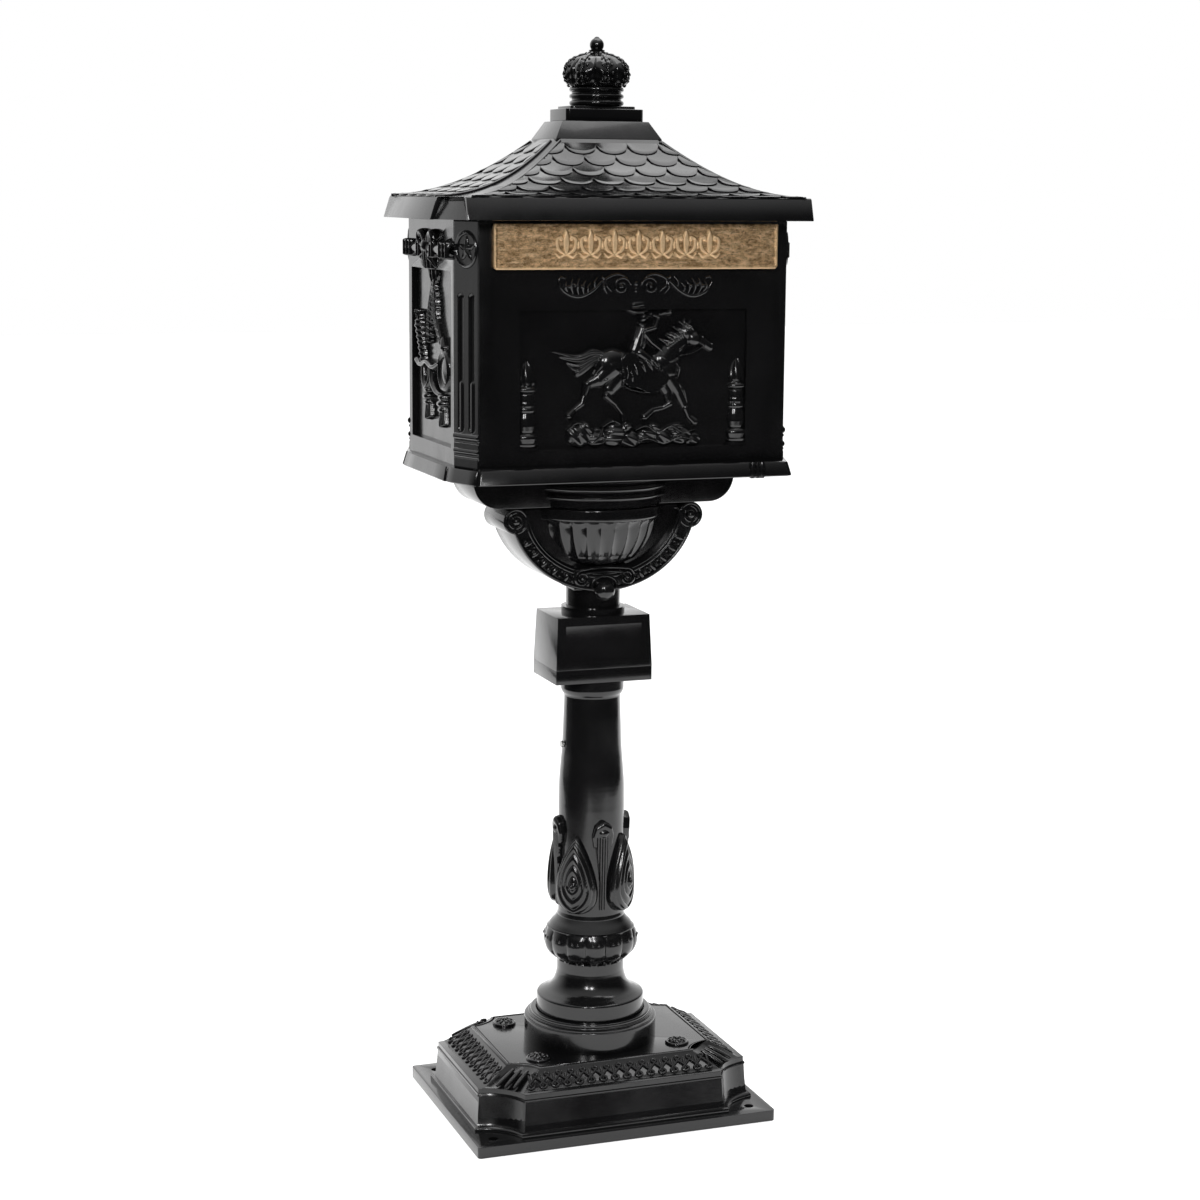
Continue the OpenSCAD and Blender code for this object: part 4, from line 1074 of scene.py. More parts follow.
def make_neck():
    """Finial's neck of three round rings."""
    low, high = span("finial_neck")
    shape = Shape()
    r = high[0]
    rings = 3
    pitch = (high[2] - low[2]) / rings
    outline = [(r - 3.5, low[2])]
    for k in range(rings):
        z = low[2] + k * pitch
        outline.append((r - 2.6, z + 0.4))
        outline += arc((r - 2.6, z + pitch / 2), 2.6, -80, 80, 9)
        outline.append((r - 2.6, z + pitch - 0.4))
    outline.append((r - 3.5, high[2]))
    revolve(shape, outline, 72, step=1.0)
    shape.make("finial_neck_rings", replaces=("finial_neck",), sharp=40)


def make_crown():
    """Crown of leafy ribs with a ball and a rounded tip, on its plinth."""
    low, high = span("finial_crown")
    crown = Shape()
    z0, widest = low[2], high[0]
    tall = high[2] - z0
    outline = [(24, z0 - 0.5), (widest - 9.5, z0 - 0.5), (widest - 6.2, z0 + 0.6)]
    bulb = [(widest - 4.6, z0 + 2.6), (widest - 2.4, z0 + tall * 0.17), (widest - 1.9, z0 + tall * 0.3)]
    bulb += [(widest - 4.2, z0 + tall * 0.43), (widest - 10, z0 + tall * 0.535)]
    bulb += [(20.5, z0 + tall * 0.595), (11.5, z0 + tall * 0.645)]
    outline += smooth(bulb, 9)
    stem = ((9.6, 0.655), (9.6, 0.685), (8.2, 0.7), (8.4, 0.725), (5.3, 0.75), (5.3, 0.78))
    outline += [(r, z0 + tall * share) for r, share in stem]
    outline += arc((0.01, z0 + tall - 8.6), 7.4, -42, 62, 9)
    outline += arc((0.01, z0 + tall - 3.2), 3.2, 10, 88, 6)

    def ribbed(turn, z):
        t = np.clip((z - z0) / (tall * 0.63), 0, 1)
        wave = np.abs(np.cos(turn * CROWN_RIBS / 2))
        swell = np.sin(np.pi * np.clip(t * 0.9 + 0.08, 0, 1)) ** 0.5
        body = np.where(z < z0 + tall * 0.63, -3.4 * (1 - wave**0.55) * swell, 0)
        veins = np.sin(turn * CROWN_RIBS * 3) * 0.3
        veins = veins + np.sin(t * 17 + np.cos(turn * CROWN_RIBS) * 1.8) * 0.35
        return body + np.where(z < z0 + tall * 0.6, veins * swell, 0)

    revolve(crown, outline, 240, ribbed, step=0.9)
    arch = [(widest - 7, z0 + 1), (widest - 2.0, z0 + tall * 0.14), (widest - 1.3, z0 + tall * 0.3)]
    arch += [(widest - 4.4, z0 + tall * 0.45), (widest - 12, z0 + tall * 0.56), (11, z0 + tall * 0.655)]
    arch = flowing(arch, 6)
    for k in range(CROWN_RIBS):
        a0 = 2 * math.pi * k / CROWN_RIBS
        path = np.array([(r * math.cos(a0), r * math.sin(a0), z) for r, z in arch])
        out = (math.cos(a0), math.sin(a0), 0.3)
        tube(crown, path, 1.6 + 0.5 * np.sin(np.arange(len(path)) * 1.9), 8, out)
        for share in (0.18, 0.36, 0.55, 0.74):
            r, z = arch[int(share * (len(path) - 1))]
            for swing in (-0.16, 0.16):
                a = a0 + swing * (1 - share * 0.1)
                place = ((r - 0.6) * math.cos(a), (r - 0.6) * math.sin(a), z)
                bead(crown, place, (1.5, 1.9, 1.5), (math.cos(a), math.sin(a), 0.4), 6, 8)
        a = a0 + math.pi / CROWN_RIBS
        place = ((widest - 7.6) * math.cos(a), (widest - 7.6) * math.sin(a), z0 + 1.2)
        bead(crown, place, (2.4, 2.4, 2.2), (math.cos(a), math.sin(a), 0))
    crown.make("finial_crown_ribbed", replaces=("finial_crown",), sharp=60)
    softened("finial_plinth", 0.8)


make_base()
make_band_ornament()
make_rosettes()
make_roof_body()
make_shingles()
make_seat()
make_neck()
make_crown()

# ---------------------------------------------------------------- bracket and beam

bracket_low, bracket_high = span("scroll_bracket")
beam_low, beam_high = span("bracket_beam")
# The arch is the lower half of an ellipse, with a scroll at each end and two volutes at its foot
ARCH_TOP = bracket_high[2]
ARCH_B = bracket_high[2] - bracket_low[2]
SCROLL_R = 14.0
ARCH_A = bracket_high[0] - 7.6
BRACKET_HALF = 34.0
URN_R = bracket_high[1]
SCROLL_X = bracket_high[0] - SCROLL_R
SCROLL_Z = ARCH_TOP - SCROLL_R
BAND = 19.0
VOLUTE_X = 25.3
VOLUTE_Z = ARCH_TOP - ARCH_B + 15
VOLUTE_R = 9.2
BEAM_END_R = 28.0
URN_FLUTES = 28


def ellipse_arc(depth, start, end, count):
    """Points (x, z) at a depth inside the arch's lower outline, angles in degrees from its right end."""
    angles = np.radians(np.linspace(start, end, count))
    a, b = ARCH_A - depth, ARCH_B - depth
    return np.column_stack([a * np.cos(angles), ARCH_TOP - b * np.sin(angles)])


def on_face(points, side, out):
    """Points (x, z) laid on the bracket's front (side -1) or back face."""
    points = np.asarray(points, float)
    return np.column_stack([points[:, 0], np.full(len(points), side * (BRACKET_HALF + out)), points[:, 1]])


def spiral(centre, start_r, end_r, start, turns, count=40):
    """Points of a spiral from one radius to another. start is in degrees; turns may be negative."""
    t = np.linspace(0, 1, count)
    radius = start_r + (end_r - start_r) * t**0.8
    angle = np.radians(start) + turns * 2 * np.pi * t
    return np.column_stack([centre[0] + radius * np.cos(angle), centre[1] + radius * np.sin(angle)])


def front_back(u, v, w):
    """Puts a prism's outline upright across the object, with its depth from front to back."""
    return (u, w, v)


def make_arch():
    """Arch band with a disc at each end, over a thinner web."""
    shape = Shape()
    half = BRACKET_HALF
    for s in (-1, 1):
        disc = arc((s * SCROLL_X, SCROLL_Z), SCROLL_R, 0, 348.75, 32)
        prism(shape, disc, front_back, -half, half)
    band = np.concatenate([ellipse_arc(0, 9, 171, 61), ellipse_arc(BAND, 171, 9, 41)])
    prism(shape, band, front_back, -half + 1, half - 1)
    prism(shape, ellipse_arc(BAND - 1, 2, 178, 41), front_back, -half + 6, half - 6)
    low = ARCH_TOP - ARCH_B
    prism(shape, [(-29, low), (29, low), (29, low + 12), (-29, low + 12)], front_back, -22, 22)
    shape.make("bracket_arch", replaces=("scroll_bracket",), sharp=30, bevel=0.9)


def arch_half(shape, side, s):
    """Ribs with paired beads, the end scroll and the volute on one half of one face of the arch."""
    out = (0, side, 0)
    for k in range(5):
        angle = 27 + 9.2 * k
        a = angle if s > 0 else 180 - angle
        path = np.linspace(ellipse_arc(4.2, a, a, 1)[0], ellipse_arc(14.6, a, a, 1)[0], 7)
        swell = np.sin(np.linspace(0.5, 2.75, 7)) ** 0.6
        tube(shape, on_face(path, side, -0.4), 3.4 * swell, 10, out)
        for depth in (6.6, 12.2):
            x, z = ellipse_arc(depth, a + s * 4.2, a + s * 4.2, 1)[0]
            bead(shape, (x, side * (BRACKET_HALF + 0.6), z), (1.9, 1.9, 3.0), out)
    centre = (s * SCROLL_X, SCROLL_Z)
    ring = spiral(centre, SCROLL_R - 1.8, SCROLL_R - 1.8, 0, 1, 40)[:-1]
    tube(shape, on_face(ring, side, -0.5), 1.8, 8, out, closed=True)
    tube(shape, on_face(spiral(centre, 9.4, 5.0, 90, -s * 1.15, 36), side, 0.2), 1.5, 8, out)
    bead(shape, (centre[0], side * (BRACKET_HALF + 0.6), centre[1]), (4.6, 4.6, 4.2), out)
    eye = (s * VOLUTE_X, VOLUTE_Z)
    coil = on_face(spiral(eye, VOLUTE_R, 3.0, 90, s * -1.75, 60), side, 2.6)
    tube(shape, coil, np.linspace(1.9, 1.2, 60), 8, out, 1.5)
    bead(shape, (eye[0], side * (BRACKET_HALF + 2.4), eye[1]), (2.6, 2.6, 3.2), out)
    low, high = sorted((side * (BRACKET_HALF - 3), side * (BRACKET_HALF + 1.8)))
    prism(shape, arc(eye, VOLUTE_R + 0.6, 0, 345, 24), front_back, low, high)


def make_bracket_ornament():
    """Rims, ribs and scrolls on both faces of the arch, and a ball that hangs between two volutes."""
    shape = Shape()
    for side in (-1, 1):
        out = (0, side, 0)
        rims = ((1.9, 1.9, 12, 168), (BAND - 3.6, 1.7, 8, 172), (BAND - 0.4, 1.1, 6, 174))
        for depth, r, low, high in rims:
            tube(shape, on_face(ellipse_arc(depth, low, high, 80), side, 0.3), r, 8, out)
        for s in (-1, 1):
            arch_half(shape, side, s)
        top = VOLUTE_Z + VOLUTE_R
        for dz, r in ((0.0, 1.9), (-4.6, 1.3)):
            half = [(VOLUTE_X, top + dz), (13, top + 1.2 + dz), (0, top + 1.8 + dz)]
            bridge = flowing([(-x, z) for x, z in half] + half[1::-1], 6)
            tube(shape, on_face(bridge, side, 2.6), r, 8, out, 1.5)
        web = [(-25, top), (25, top), (21, top - 11), (12, top - 15), (-12, top - 15), (-21, top - 11)]
        low, high = sorted((side * (BRACKET_HALF - 3), side * (BRACKET_HALF + 0.8)))
        prism(shape, web, front_back, low, high)
        ball_z = ARCH_TOP - ARCH_B + 1.6
        centre = (0, side * (BRACKET_HALF + 1.5), ball_z)
        bead(shape, centre, (11.6, 11.6, 11.0), out, 13, 28)
        bead(shape, centre, (11.6, 11.6, 9.0), (0, -side, 0), 9, 28)
        hood = ((-14.5, 2), (-11.5, 11), (0, 15), (11.5, 11), (14.5, 2))
        hood = flowing([(x, ball_z + dz) for x, dz in hood], 6)
        tube(shape, on_face(hood, side, 1.6), 1.5, 8, out)
    shape.make("bracket_ornament", sharp=60)


def make_urn():
    """Fluted bowl under the box with petals at its foot and a plain rim."""
    shape = Shape()
    z0 = ARCH_TOP - ARCH_B * 0.75
    bowl_top = z0 + 54.4
    outline = [(4, z0), (19, z0), (21, z0 + 0.8)]
    bowl = [(21.5, z0 + 1.6), (37, z0 + 6.4), (52, z0 + 18), (URN_R - 11, z0 + 35), (URN_R - 6, z0 + 52)]
    outline += smooth(bowl, 10)
    lip = URN_R - 2.8
    outline += [(lip - 3, bowl_top), (lip, z0 + 55.2)] + arc((lip, z0 + 57.8), 2.6, -90, 0, 5)
    outline += [(URN_R, z0 + 60), (URN_R, ARCH_TOP - 3)]
    outline += arc((URN_R - 1.6, ARCH_TOP - 2.4), 1.6, 0, 90, 4) + [(40, ARCH_TOP - 0.8)]

    def fluted(turn, z):
        t = np.clip((z - z0) / (bowl_top - z0), 0, 1)
        wave = np.abs(np.sin(turn * URN_FLUTES / 2)) ** 0.8
        deep = 2.4 * np.clip((t - 0.02) / 0.25, 0, 1) * np.clip((1 - t) / 0.1, 0, 1) ** 0.6
        petal = np.clip(1 - np.abs(t - 0.14) / 0.14, 0, 1) ** 0.5 * np.abs(np.cos(turn * 9)) ** 0.6 * 1.9
        return np.where(z < bowl_top + 0.1, -deep * wave + petal * (z > z0 + 0.7), 0)

    revolve(shape, outline, 336, fluted, step=1.4)
    shape.make("urn_fluted", sharp=50)


def make_beam():
    """Beam with rounded ends and a thin top strip, and the urn's two rings in its middle."""
    shape = Shape()
    z0, z1 = beam_low[2], beam_high[2]
    outline = arc((beam_high[0] - BEAM_END_R, z0 + BEAM_END_R), BEAM_END_R, -90, -6, 13)
    outline += [(beam_high[0], z0 + 26.5), (beam_high[0], z1)]
    outline += [(-x, z) for x, z in reversed(outline)]
    prism(shape, outline, front_back, -39.0, 39.0)
    shape.make("beam_cast", replaces=("bracket_beam",), sharp=30, bevel=0.8)
    rings = Shape()
    outline = [(40, z0 + 0.3), (URN_R - 2.2, z0 + 0.3), (URN_R - 1.0, z0 + 1.4), (URN_R - 0.6, z0 + 8.5)]
    outline += arc((URN_R + 0.6, z0 + 11.4), 2.4, -70, 70, 7) + [(URN_R + 0.6, z0 + 14.4)]
    outline += [(URN_R + 0.8, z0 + 17.5)] + arc((URN_R + 1.4, z0 + 20.6), 2.6, -70, 70, 7)
    outline += [(URN_R + 0.6, z0 + 24.2), (URN_R + 0.6, z0 + 27), (URN_R + 3.8, z0 + 29)]
    outline += [(URN_R + 3.8, z0 + 31), (URN_R, z1 - 0.2), (40, z1 - 0.2)]
    revolve(rings, outline, 128, step=2)
    rings.make("urn_rings", sharp=40)


# ---------------------------------------------------------------- ledge and box

pan_low, pan_high = span("floor_pan")
side_low, side_high = span("left_panel")
BOX_LOW, BOX_HIGH = side_low[2], side_high[2]
HALF = (-side_low[0], span("rear_left_pilaster")[1][1])
# A corner facet cuts this much off the box, which leaves flats this wide, as half sizes
CORNER = (14.4, 38.3)
FLAT = (HALF[0] - CORNER[0], HALF[1] - CORNER[1])
FIELD_DEPTH = 5.6
FIELD_FOOT = BOX_LOW + 18.0
FIELD_TOP = BOX_LOW + 195.5
LEDGE_CUT = (17.4, 51.3)


def pad_stations(length):
    """Shares along a pad's side, and how far each point is drawn in so that the pad's ends are round."""
    near = [(share * 4.0 / length, drop) for share, drop in ((0, 2.2), (0.25, 0.7), (0.6, 0.15))]
    middle = [(k / 12, 0.0) for k in range(3, 10)]
    far = [(1 - share, drop) for share, drop in reversed(near)]
    gap = 2.6 / length
    return [(gap + (1 - 2 * gap) * share, drop) for share, drop in near + middle + far]


def make_ledge():
    """Ledge that flares towards its foot, with a raised pad on each of its eight sides, and a boss."""
    shape = Shape()
    foot_z, top_z = pan_low[2], pan_high[2]
    half = inset(pan_high[:2], 2.2)
    lean = 3.0
    rings = [(half, foot_z + 0.2), (half, foot_z + 1.2), (inset(half, lean), top_z - 0.8)]
    rings += [(inset(half, lean + 1.2), top_z), (inset(half, 14), top_z), (inset(half, 14), foot_z + 4)]
    loft(shape, [lifted(octagon(h, LEDGE_CUT), z) for h, z in rings])
    shape.make("ledge_cast", replaces=("floor_pan",), sharp=30)
    pads = Shape()
    low = octagon(pan_high[:2], LEDGE_CUT)
    high = octagon(inset(pan_high[:2], lean), LEDGE_CUT)
    for k in range(8):
        foot = (low[k], low[(k + 1) % 8])
        head = (high[k], high[(k + 1) % 8])
        length = np.linalg.norm(foot[1] - foot[0])
        along = (foot[1] - foot[0]) / length
        out = np.array([along[1], -along[0]])
        if out @ (foot[0] + foot[1]) < 0:
            out = -out
        rows = []
        levels = [(foot_z, foot, 0.7), (foot_z + 1.0, foot, 0)]
        levels += [(top_z - 1.6, head, 0), (top_z - 0.6, head, 0.7)]
        for z, (p, q), tuck in levels:
            outer = [p + (q - p) * t - out * (drop + tuck) for t, drop in pad_stations(length)]
            inner = [spot - out * 3.4 for spot in reversed(outer)]
            rows.append(lifted(np.array(outer + inner), z))
        loft(pads, rows)
    pads.make("ledge_pads", sharp=45)
    boss = Shape()
    centre = HALF[0] - 46.5
    heights = np.linspace(foot_z - 1.2, top_z + 0.2, 9)
    for dx, r in ((-5.2, 3.6), (0.4, 3.0), (5.4, 3.8)):
        path = [(centre + dx, -pan_high[1] + 2.2, z) for z in heights]
        tube(boss, path, r * np.sin(np.linspace(0.75, 2.35, 9)), 12, (0, -1, 0), 0.95)
    boss.make("ledge_boss", sharp=60)


def on_front(u, v, w):
    """A point at a height w off the front of the box."""
    return np.stack([u, -HALF[1] - w, v + np.zeros_like(w)], -1)


def make_front_ornament():
    """Leafy double scroll under the flap."""
    shape = Shape()
    foot = BOX_LOW + 169.0
    stem = [(6.2, 14), (11, 21), (20, 24), (30, 21), (38.5, 15), (47, 7.5), (57, 2.6), (66, 2.4)]
    stem += [(76, 7), (82, 15.5), (80, 21), (75.5, 20)]
    # tip and root of each blade, and its half width
    blades = [((31, 5), (34, 17), 2.0), ((26, 7), (33, 18), 1.6), ((41, 21), (44, 11), 1.9)]
    blades += [((48.5, 15), (51, 6), 1.9), ((54, 17.5), (56, 5), 2.4), ((60.5, 19.5), (61.5, 4.5), 2.6)]
    blades += [((67.5, 19.5), (67, 4.5), 2.5), ((74, 17), (72.5, 6.5), 2.3), ((36.5, 22.5), (32, 19), 1.5)]
    eye = (15.4, 12.0)
    coil = [tuple(p) for p in spiral(eye, 9.8, 2.0, 168, -1.62, 44)[::2]]

    def rise(u, v):
        x = np.abs(u)
        best = [mound(u, v, (0, 14.6), (2.6, 2.6), 0, 2.4), mound(u, v, (0, 8.6), (1.7, 3.0), 0, 1.7)]
        best.append(limb(x, v, coil, np.linspace(1.5, 1.1, len(coil)), 1.7))
        best.append(mound(x, v, eye, (2.4, 2.4), 0, 3.6))
        best.append(curl(x, v, stem, [1.0, 1.5, 1.7, 1.9, 2.0, 1.6, 1.1], 1.3))
        for tip, root, r in blades:
            bend = ((tip[0] + root[0]) / 2 + 2.2, (tip[1] + root[1]) / 2)
            best.append(curl(x, v, [root, bend, tip], [1.1, r, 0.6], 1.9))
        for spot in ((59, 12), (66, 13.5), (72, 12)):
            best.append(mound(x, v, spot, (2.0, 2.6), -20, 4.6))
        return joined(*best)

    relief(shape, lambda u, v, w: on_front(u, v + foot, w), 172, 28, 0.45, rise)
    shape.make("front_scroll_ornament", sharp=70)


def make_obelisks():
    """Two small banded pillars with flame tips at the ends of the front field."""
    shape = Shape()
    face = -HALF[1] + FIELD_DEPTH
    outline = [(11.5, 0), (11.5, 2.6), (9.4, 3.4), (10.6, 6), (8.6, 7.4), (9.4, 10), (10.4, 13), (8.8, 16)]
    outline += [(6.4, 17.6), (7.2, 19), (8.8, 25), (8.4, 32), (6.8, 38), (7.8, 39.4), (7.8, 42)]
    outline += [(6.6, 43.2), (7.4, 44.6), (7.4, 48), (6.4, 49.4), (7.2, 51), (7.0, 56), (6.0, 57.4)]
    outline += [(9.0, 59.6), (9.4, 61.8), (7.2, 63.6)]
    outline += smooth([(6.6, 64.4), (7.8, 70), (6.6, 77), (4.0, 84), (1.0, 89)], 4)
    radii, heights = profile(outline, 1.2)
    rows, columns = len(heights), 32
    t, r = np.meshgrid(np.linspace(math.pi, 2 * math.pi, columns), radii)
    z = np.repeat(heights[:, None], columns, 1)
    bands = np.where((z > 38) & (z < 57), 0.7 * np.abs(np.cos(t * 7)), 0)
    flame = np.where(z > 64, 0.8 * np.cos(t * 5 + z * 0.12), 0)
    reach = 1.14 * r + bands + flame
    last = (rows - 1) * columns
    left, right = range(0, last + 1, columns), range(columns - 1, last + columns, columns)
    faces = grid_faces(rows, columns)
    faces += [tuple(left) + tuple(reversed(right)), tuple(range(columns))]
    faces.append(tuple(reversed(range(last, last + columns))))
    for s in (-1, 1):
        x = s * (HALF[0] - 65.8) + reach * np.cos(t)
        shape.add(np.stack([x, face + 0.4 + 0.72 * reach * np.sin(t), FIELD_FOOT + z], -1), faces)
    shape.make("front_obelisks", sharp=60)


def horse(x, z):
    """Heights of the running horse over the field. Strokes are points, half widths and flatness."""
    body = limb(x, z, [(-22, 822), (4, 814), (30, 818)], [15, 14, 14.5], 0.52)
    body = melted(body, mound(x, z, (-25, 820), (17, 16.5), 20, 9.6), 2)
    body = melted(body, mound(x, z, (36, 815), (12.5, 14), -20, 9.4), 2)
    head = limb(x, z, [(57, 852), (71, 844), (83, 837)], [8.6, 6.2, 4.8], 0.85)
    head = melted(head, mound(x, z, (64, 845.5), (9.5, 8.2), -30, 8.4), 1)
    neck_ears = [
        ([(33, 822), (46, 838), (55, 850)], [14.5, 11.2, 9.0], 0.6),
        ([(52.5, 857), (53.5, 861), (55.5, 866.5)], [2.6, 2.2, 0.7], 1.4),
        ([(58, 857), (60, 861), (62, 865)], [2.2, 1.8, 0.6], 1.4),
    ]
    hind_legs = [
        ([(-24, 818), (-37, 806), (-50, 801)], [13, 8.6, 4.8], 0.8),
        ([(-50, 801), (-53, 790), (-55, 782), (-63, 776), (-69, 770)], [4.8, 3.2, 3.8, 2.8, 4.4], 1.2),
        ([(-16, 808), (-25, 796), (-29, 789.5)], [11.0, 7.2, 4.4], 0.72),
        ([(-29, 789.5), (-18, 780), (-11, 771), (-8.5, 761)], [4.4, 3.2, 3.4, 3.8], 1.15),
    ]
    fore_legs = [
        ([(29, 806), (37, 792), (39.5, 780)], [9.0, 5.6, 4.2], 0.8),
        ([(39.5, 780), (31, 775.5), (21, 774), (12, 767)], [4.2, 3.2, 3.6, 4.6], 1.2),
        ([(38, 806), (49, 791), (57, 775)], [8.6, 5.4, 4.0], 0.95),
        ([(57, 775), (61, 766), (67, 761)], [4.0, 3.4, 4.8], 1.2),
    ]
    muscles = [
        ([(-30, 831), (-37, 820), (-44, 809)], [0.8, 2.0, 0.8], 5.0),
        ([(-20, 812), (-31, 806), (-42, 801)], [0.8, 1.6, 0.8], 5.0),
        ([(40, 826), (47, 816), (46, 803)], [0.8, 2.0, 0.8], 5.0),
        ([(44, 806), (53, 794), (58, 781)], [0.8, 1.5, 0.8], 5.0),
        ([(62, 850), (68, 843), (76, 838)], [0.8, 1.3, 0.8], 5.0),
        ([(42, 826), (50, 836), (58, 842)], [0.8, 1.6, 0.8], 5.0),
    ]
    eye_nostril = [((66.5, 851.3), (1.8, 1.5), -20, 6.0), ((84.5, 840), (1.6, 1.3), -20, 4.6)]
    mane = []
    for k in range(13):
        share = k / 12
        root = (36 + 25 * share, 838 + 19 * share)
        tip = (root[0] - 8.5 + 3 * math.sin(k * 2.1), root[1] + 6.0 + 1.8 * math.cos(k * 1.7))
        mane.append(([(root[0] + 4.5, root[1] - 6.5), root, tip], [1.3, 2.5, 0.9], 3.0))
    tail = []
    for k in range(7):
        drop, odd = k * 2.3, k % 2
        lock = [(-31, 831 - k * 0.8), (-44, 834.5 - drop), (-60, 829 - drop * 1.3 + 2 * math.sin(k))]
        lock.append((-86 + k * 3.8 + odd * 3, 834 - drop * 1.3 - odd * 2))
        tail.append((lock, [2.4, 2.6, 2.6, 0.6], 1.5 + 0.4 * odd))
    rest = figure(x, z, neck_ears + hind_legs + fore_legs, muscles + mane + tail, eye_nostril)
    return joined(body, head, rest)


def tack(x, z):
    """Bridle, reins and saddle cloth with its folds and hem."""
    straps = [
        ([(63, 857.5), (66, 850), (66.5, 841)], [0.9, 0.9], 6.5),
        ([(74.5, 848), (76.5, 842), (75.5, 837)], [0.9, 0.9], 5.6),
        ([(75.5, 838), (62, 831), (48, 829.5), (33, 833)], [0.9, 0.9], 6.2),
        ([(27, 829), (37, 823), (46, 826)], [1.2, 1.2], 7.4),
        ([(-14.5, 828), (-15.5, 814), (-14, 800)], [1.1, 1.1], 7.4),
    ]
    folds = [
        [(-11, 828), (-9, 812), (-10, 800)],
        [(-6, 830), (0, 816), (4, 802)],
        [(-1, 831), (8, 819), (14, 803)],
        [(4, 830), (15, 820), (22, 806)],
        [(-8, 822), (-4, 808), (-3, 798)],
        [(9, 830), (20, 822), (29, 811)],
    ]
    straps += [(line, [1.1, 2.3, 1.1], 4.9) for line in folds]
    for dz in (0.0, 3.4):
        hem = [(-14, 803 + dz), (-8, 797 + dz), (8, 792.5 + dz), (22, 793.5 + dz), (33, 799 + dz)]
        straps.append((hem, [1.0, 1.3, 1.0], 6.8))
    cloth = joined(
        limb(x, z, [(-6, 824), (-2, 806)], [9, 9.5], 0.1),
        limb(x, z, [(2, 812), (18, 804), (28, 806)], [14, 13, 8], 0.08),
    )
    cloth = np.where(cloth > 0, np.clip(cloth * 8, 0, 1) * 8.6, -1)
    return joined(cloth, figure(x, z, curls=straps))


def rider(x, z):
    """A rider in a broad hat who blows a small horn. The face is a plain calm one."""
    limbs = [
        ([(1, 834), (5, 845), (9, 855)], [8.6, 7.6, 6.2], 0.95),  # trunk
        ([(10, 852), (19, 842), (30, 834)], [4.2, 3.5, 2.7], 1.9),  # rein arm
        ([(11, 855), (22, 857.5), (25.5, 866)], [3.9, 3.2, 2.3], 2.0),  # horn arm
        ([(25, 868), (20, 869.5)], [2.6, 2.2], 2.6),  # hand
        ([(15, 868.5), (26, 870), (33, 871.5), (37.5, 873)], [0.9, 1.1, 2.0, 3.9], 1.7),  # horn
        ([(5, 832), (18, 823), (25, 818)], [6.4, 6.0, 4.6], 1.45),  # thigh
        ([(25, 818), (21, 806), (19, 798)], [4.4, 3.3, 2.6], 2.2),  # shin
        ([(18, 797.5), (26, 796)], [2.5, 1.7], 2.8),  # boot
        ([(5.5, 861), (9, 859.6), (12, 860.6)], [1.9, 2.3, 1.7], 2.6),  # collar
        ([(-1.0, 880), (7.6, 881.2)], [5.4, 4.9], 1.25),  # hat's crown
        ([(-2.4, 877), (9.6, 877.8)], [1.0, 1.0], 7.2),  # hat's band
    ]
    curls = [
        ([(-3, 832), (-1, 845), (3, 858)], [1.6, 2.2, 1.2], 2.8),
        ([(8, 834), (13, 845), (13.5, 856)], [1.2, 1.5, 1.0], 4.6),
        ([(4, 835), (8, 846), (9, 856)], [1.0, 1.2, 0.8], 7.6),
        ([(-8, 875.5), (-1, 873), (8, 873), (18, 876.5)], [1.0, 2.1, 2.1, 0.9], 3.5),
    ]
    head = [((9.2, 867.2), (4.5, 5.7), -8, 6.6), ((13.2, 867.0), (1.3, 1.7), 0, 5.4)]
    return figure(x, z, limbs, curls, head)


def rocks(x, z):
    """Broken ground under the hooves."""
    # centre, half sizes, angle and height of each stone
    stones = [
        ((-59, 750), (14, 12.5), -20, 8),
        ((-40, 747), (11, 10), 30, 6.5),
        ((-21, 750), (14, 12.5), 25, 9),
        ((-3, 744), (14, 9), 0, 6),
        ((15, 748), (12, 9), 10, 6.5),
        ((33, 746), (13, 9), -5, 6.5),
        ((52, 747), (13, 9.5), 8, 6.5),
        ((65, 743), (10, 7), 0, 4.5),
        ((-50, 757), (10, 6), -35, 8),
        ((-8, 757), (8, 5), 10, 7.5),
        ((23, 756), (9, 5), -12, 6.2),
        ((47, 756), (11, 4.6), 6, 5.8),
    ]
    parts = []
    for centre, radii, angle, height in stones:
        lean = math.radians(angle + 60)
        ridges = 0.6 * np.sin((x * math.cos(lean) + z * math.sin(lean)) * 0.85)
        m = mound(x, z, centre, radii, angle, height)
        parts.append(np.where(m > 0, m + ridges * np.clip(m / 3, 0, 1), -1))
    ledges = [
        [(-71, 756), (-62, 763), (-50, 759)],
        [(-34, 758), (-24, 764), (-12, 759)],
        [(-33, 742), (-25, 752), (-13, 745)],
        [(2, 754), (12, 758), (25, 751)],
        [(30, 752), (40, 757), (52, 751), (67, 753)],
        [(-67, 742), (-58, 752), (-51, 742)],
        [(36, 740), (50, 746), (68, 741)],
        [(0, 741), (14, 745), (28, 740)],
        [(-46, 741), (-38, 748), (-33, 757)],
    ]
    return joined(*parts, figure(x, z, curls=[(line, [1.1, 2.2, 1.0], 4.4) for line in ledges]))


def make_rider():
    """Horse and rider in high relief on the front field."""
    shape = Shape()

    def rise(u, v):
        z = v + FIELD_FOOT
        return joined(horse(u, z), tack(u, z), rider(u, z), rocks(u, z))

    relief(shape, lambda u, v, w: on_front(u, v + FIELD_FOOT, w - FIELD_DEPTH), 186, 152, 0.5, rise)
    shape.make("front_rider_relief", sharp=80)


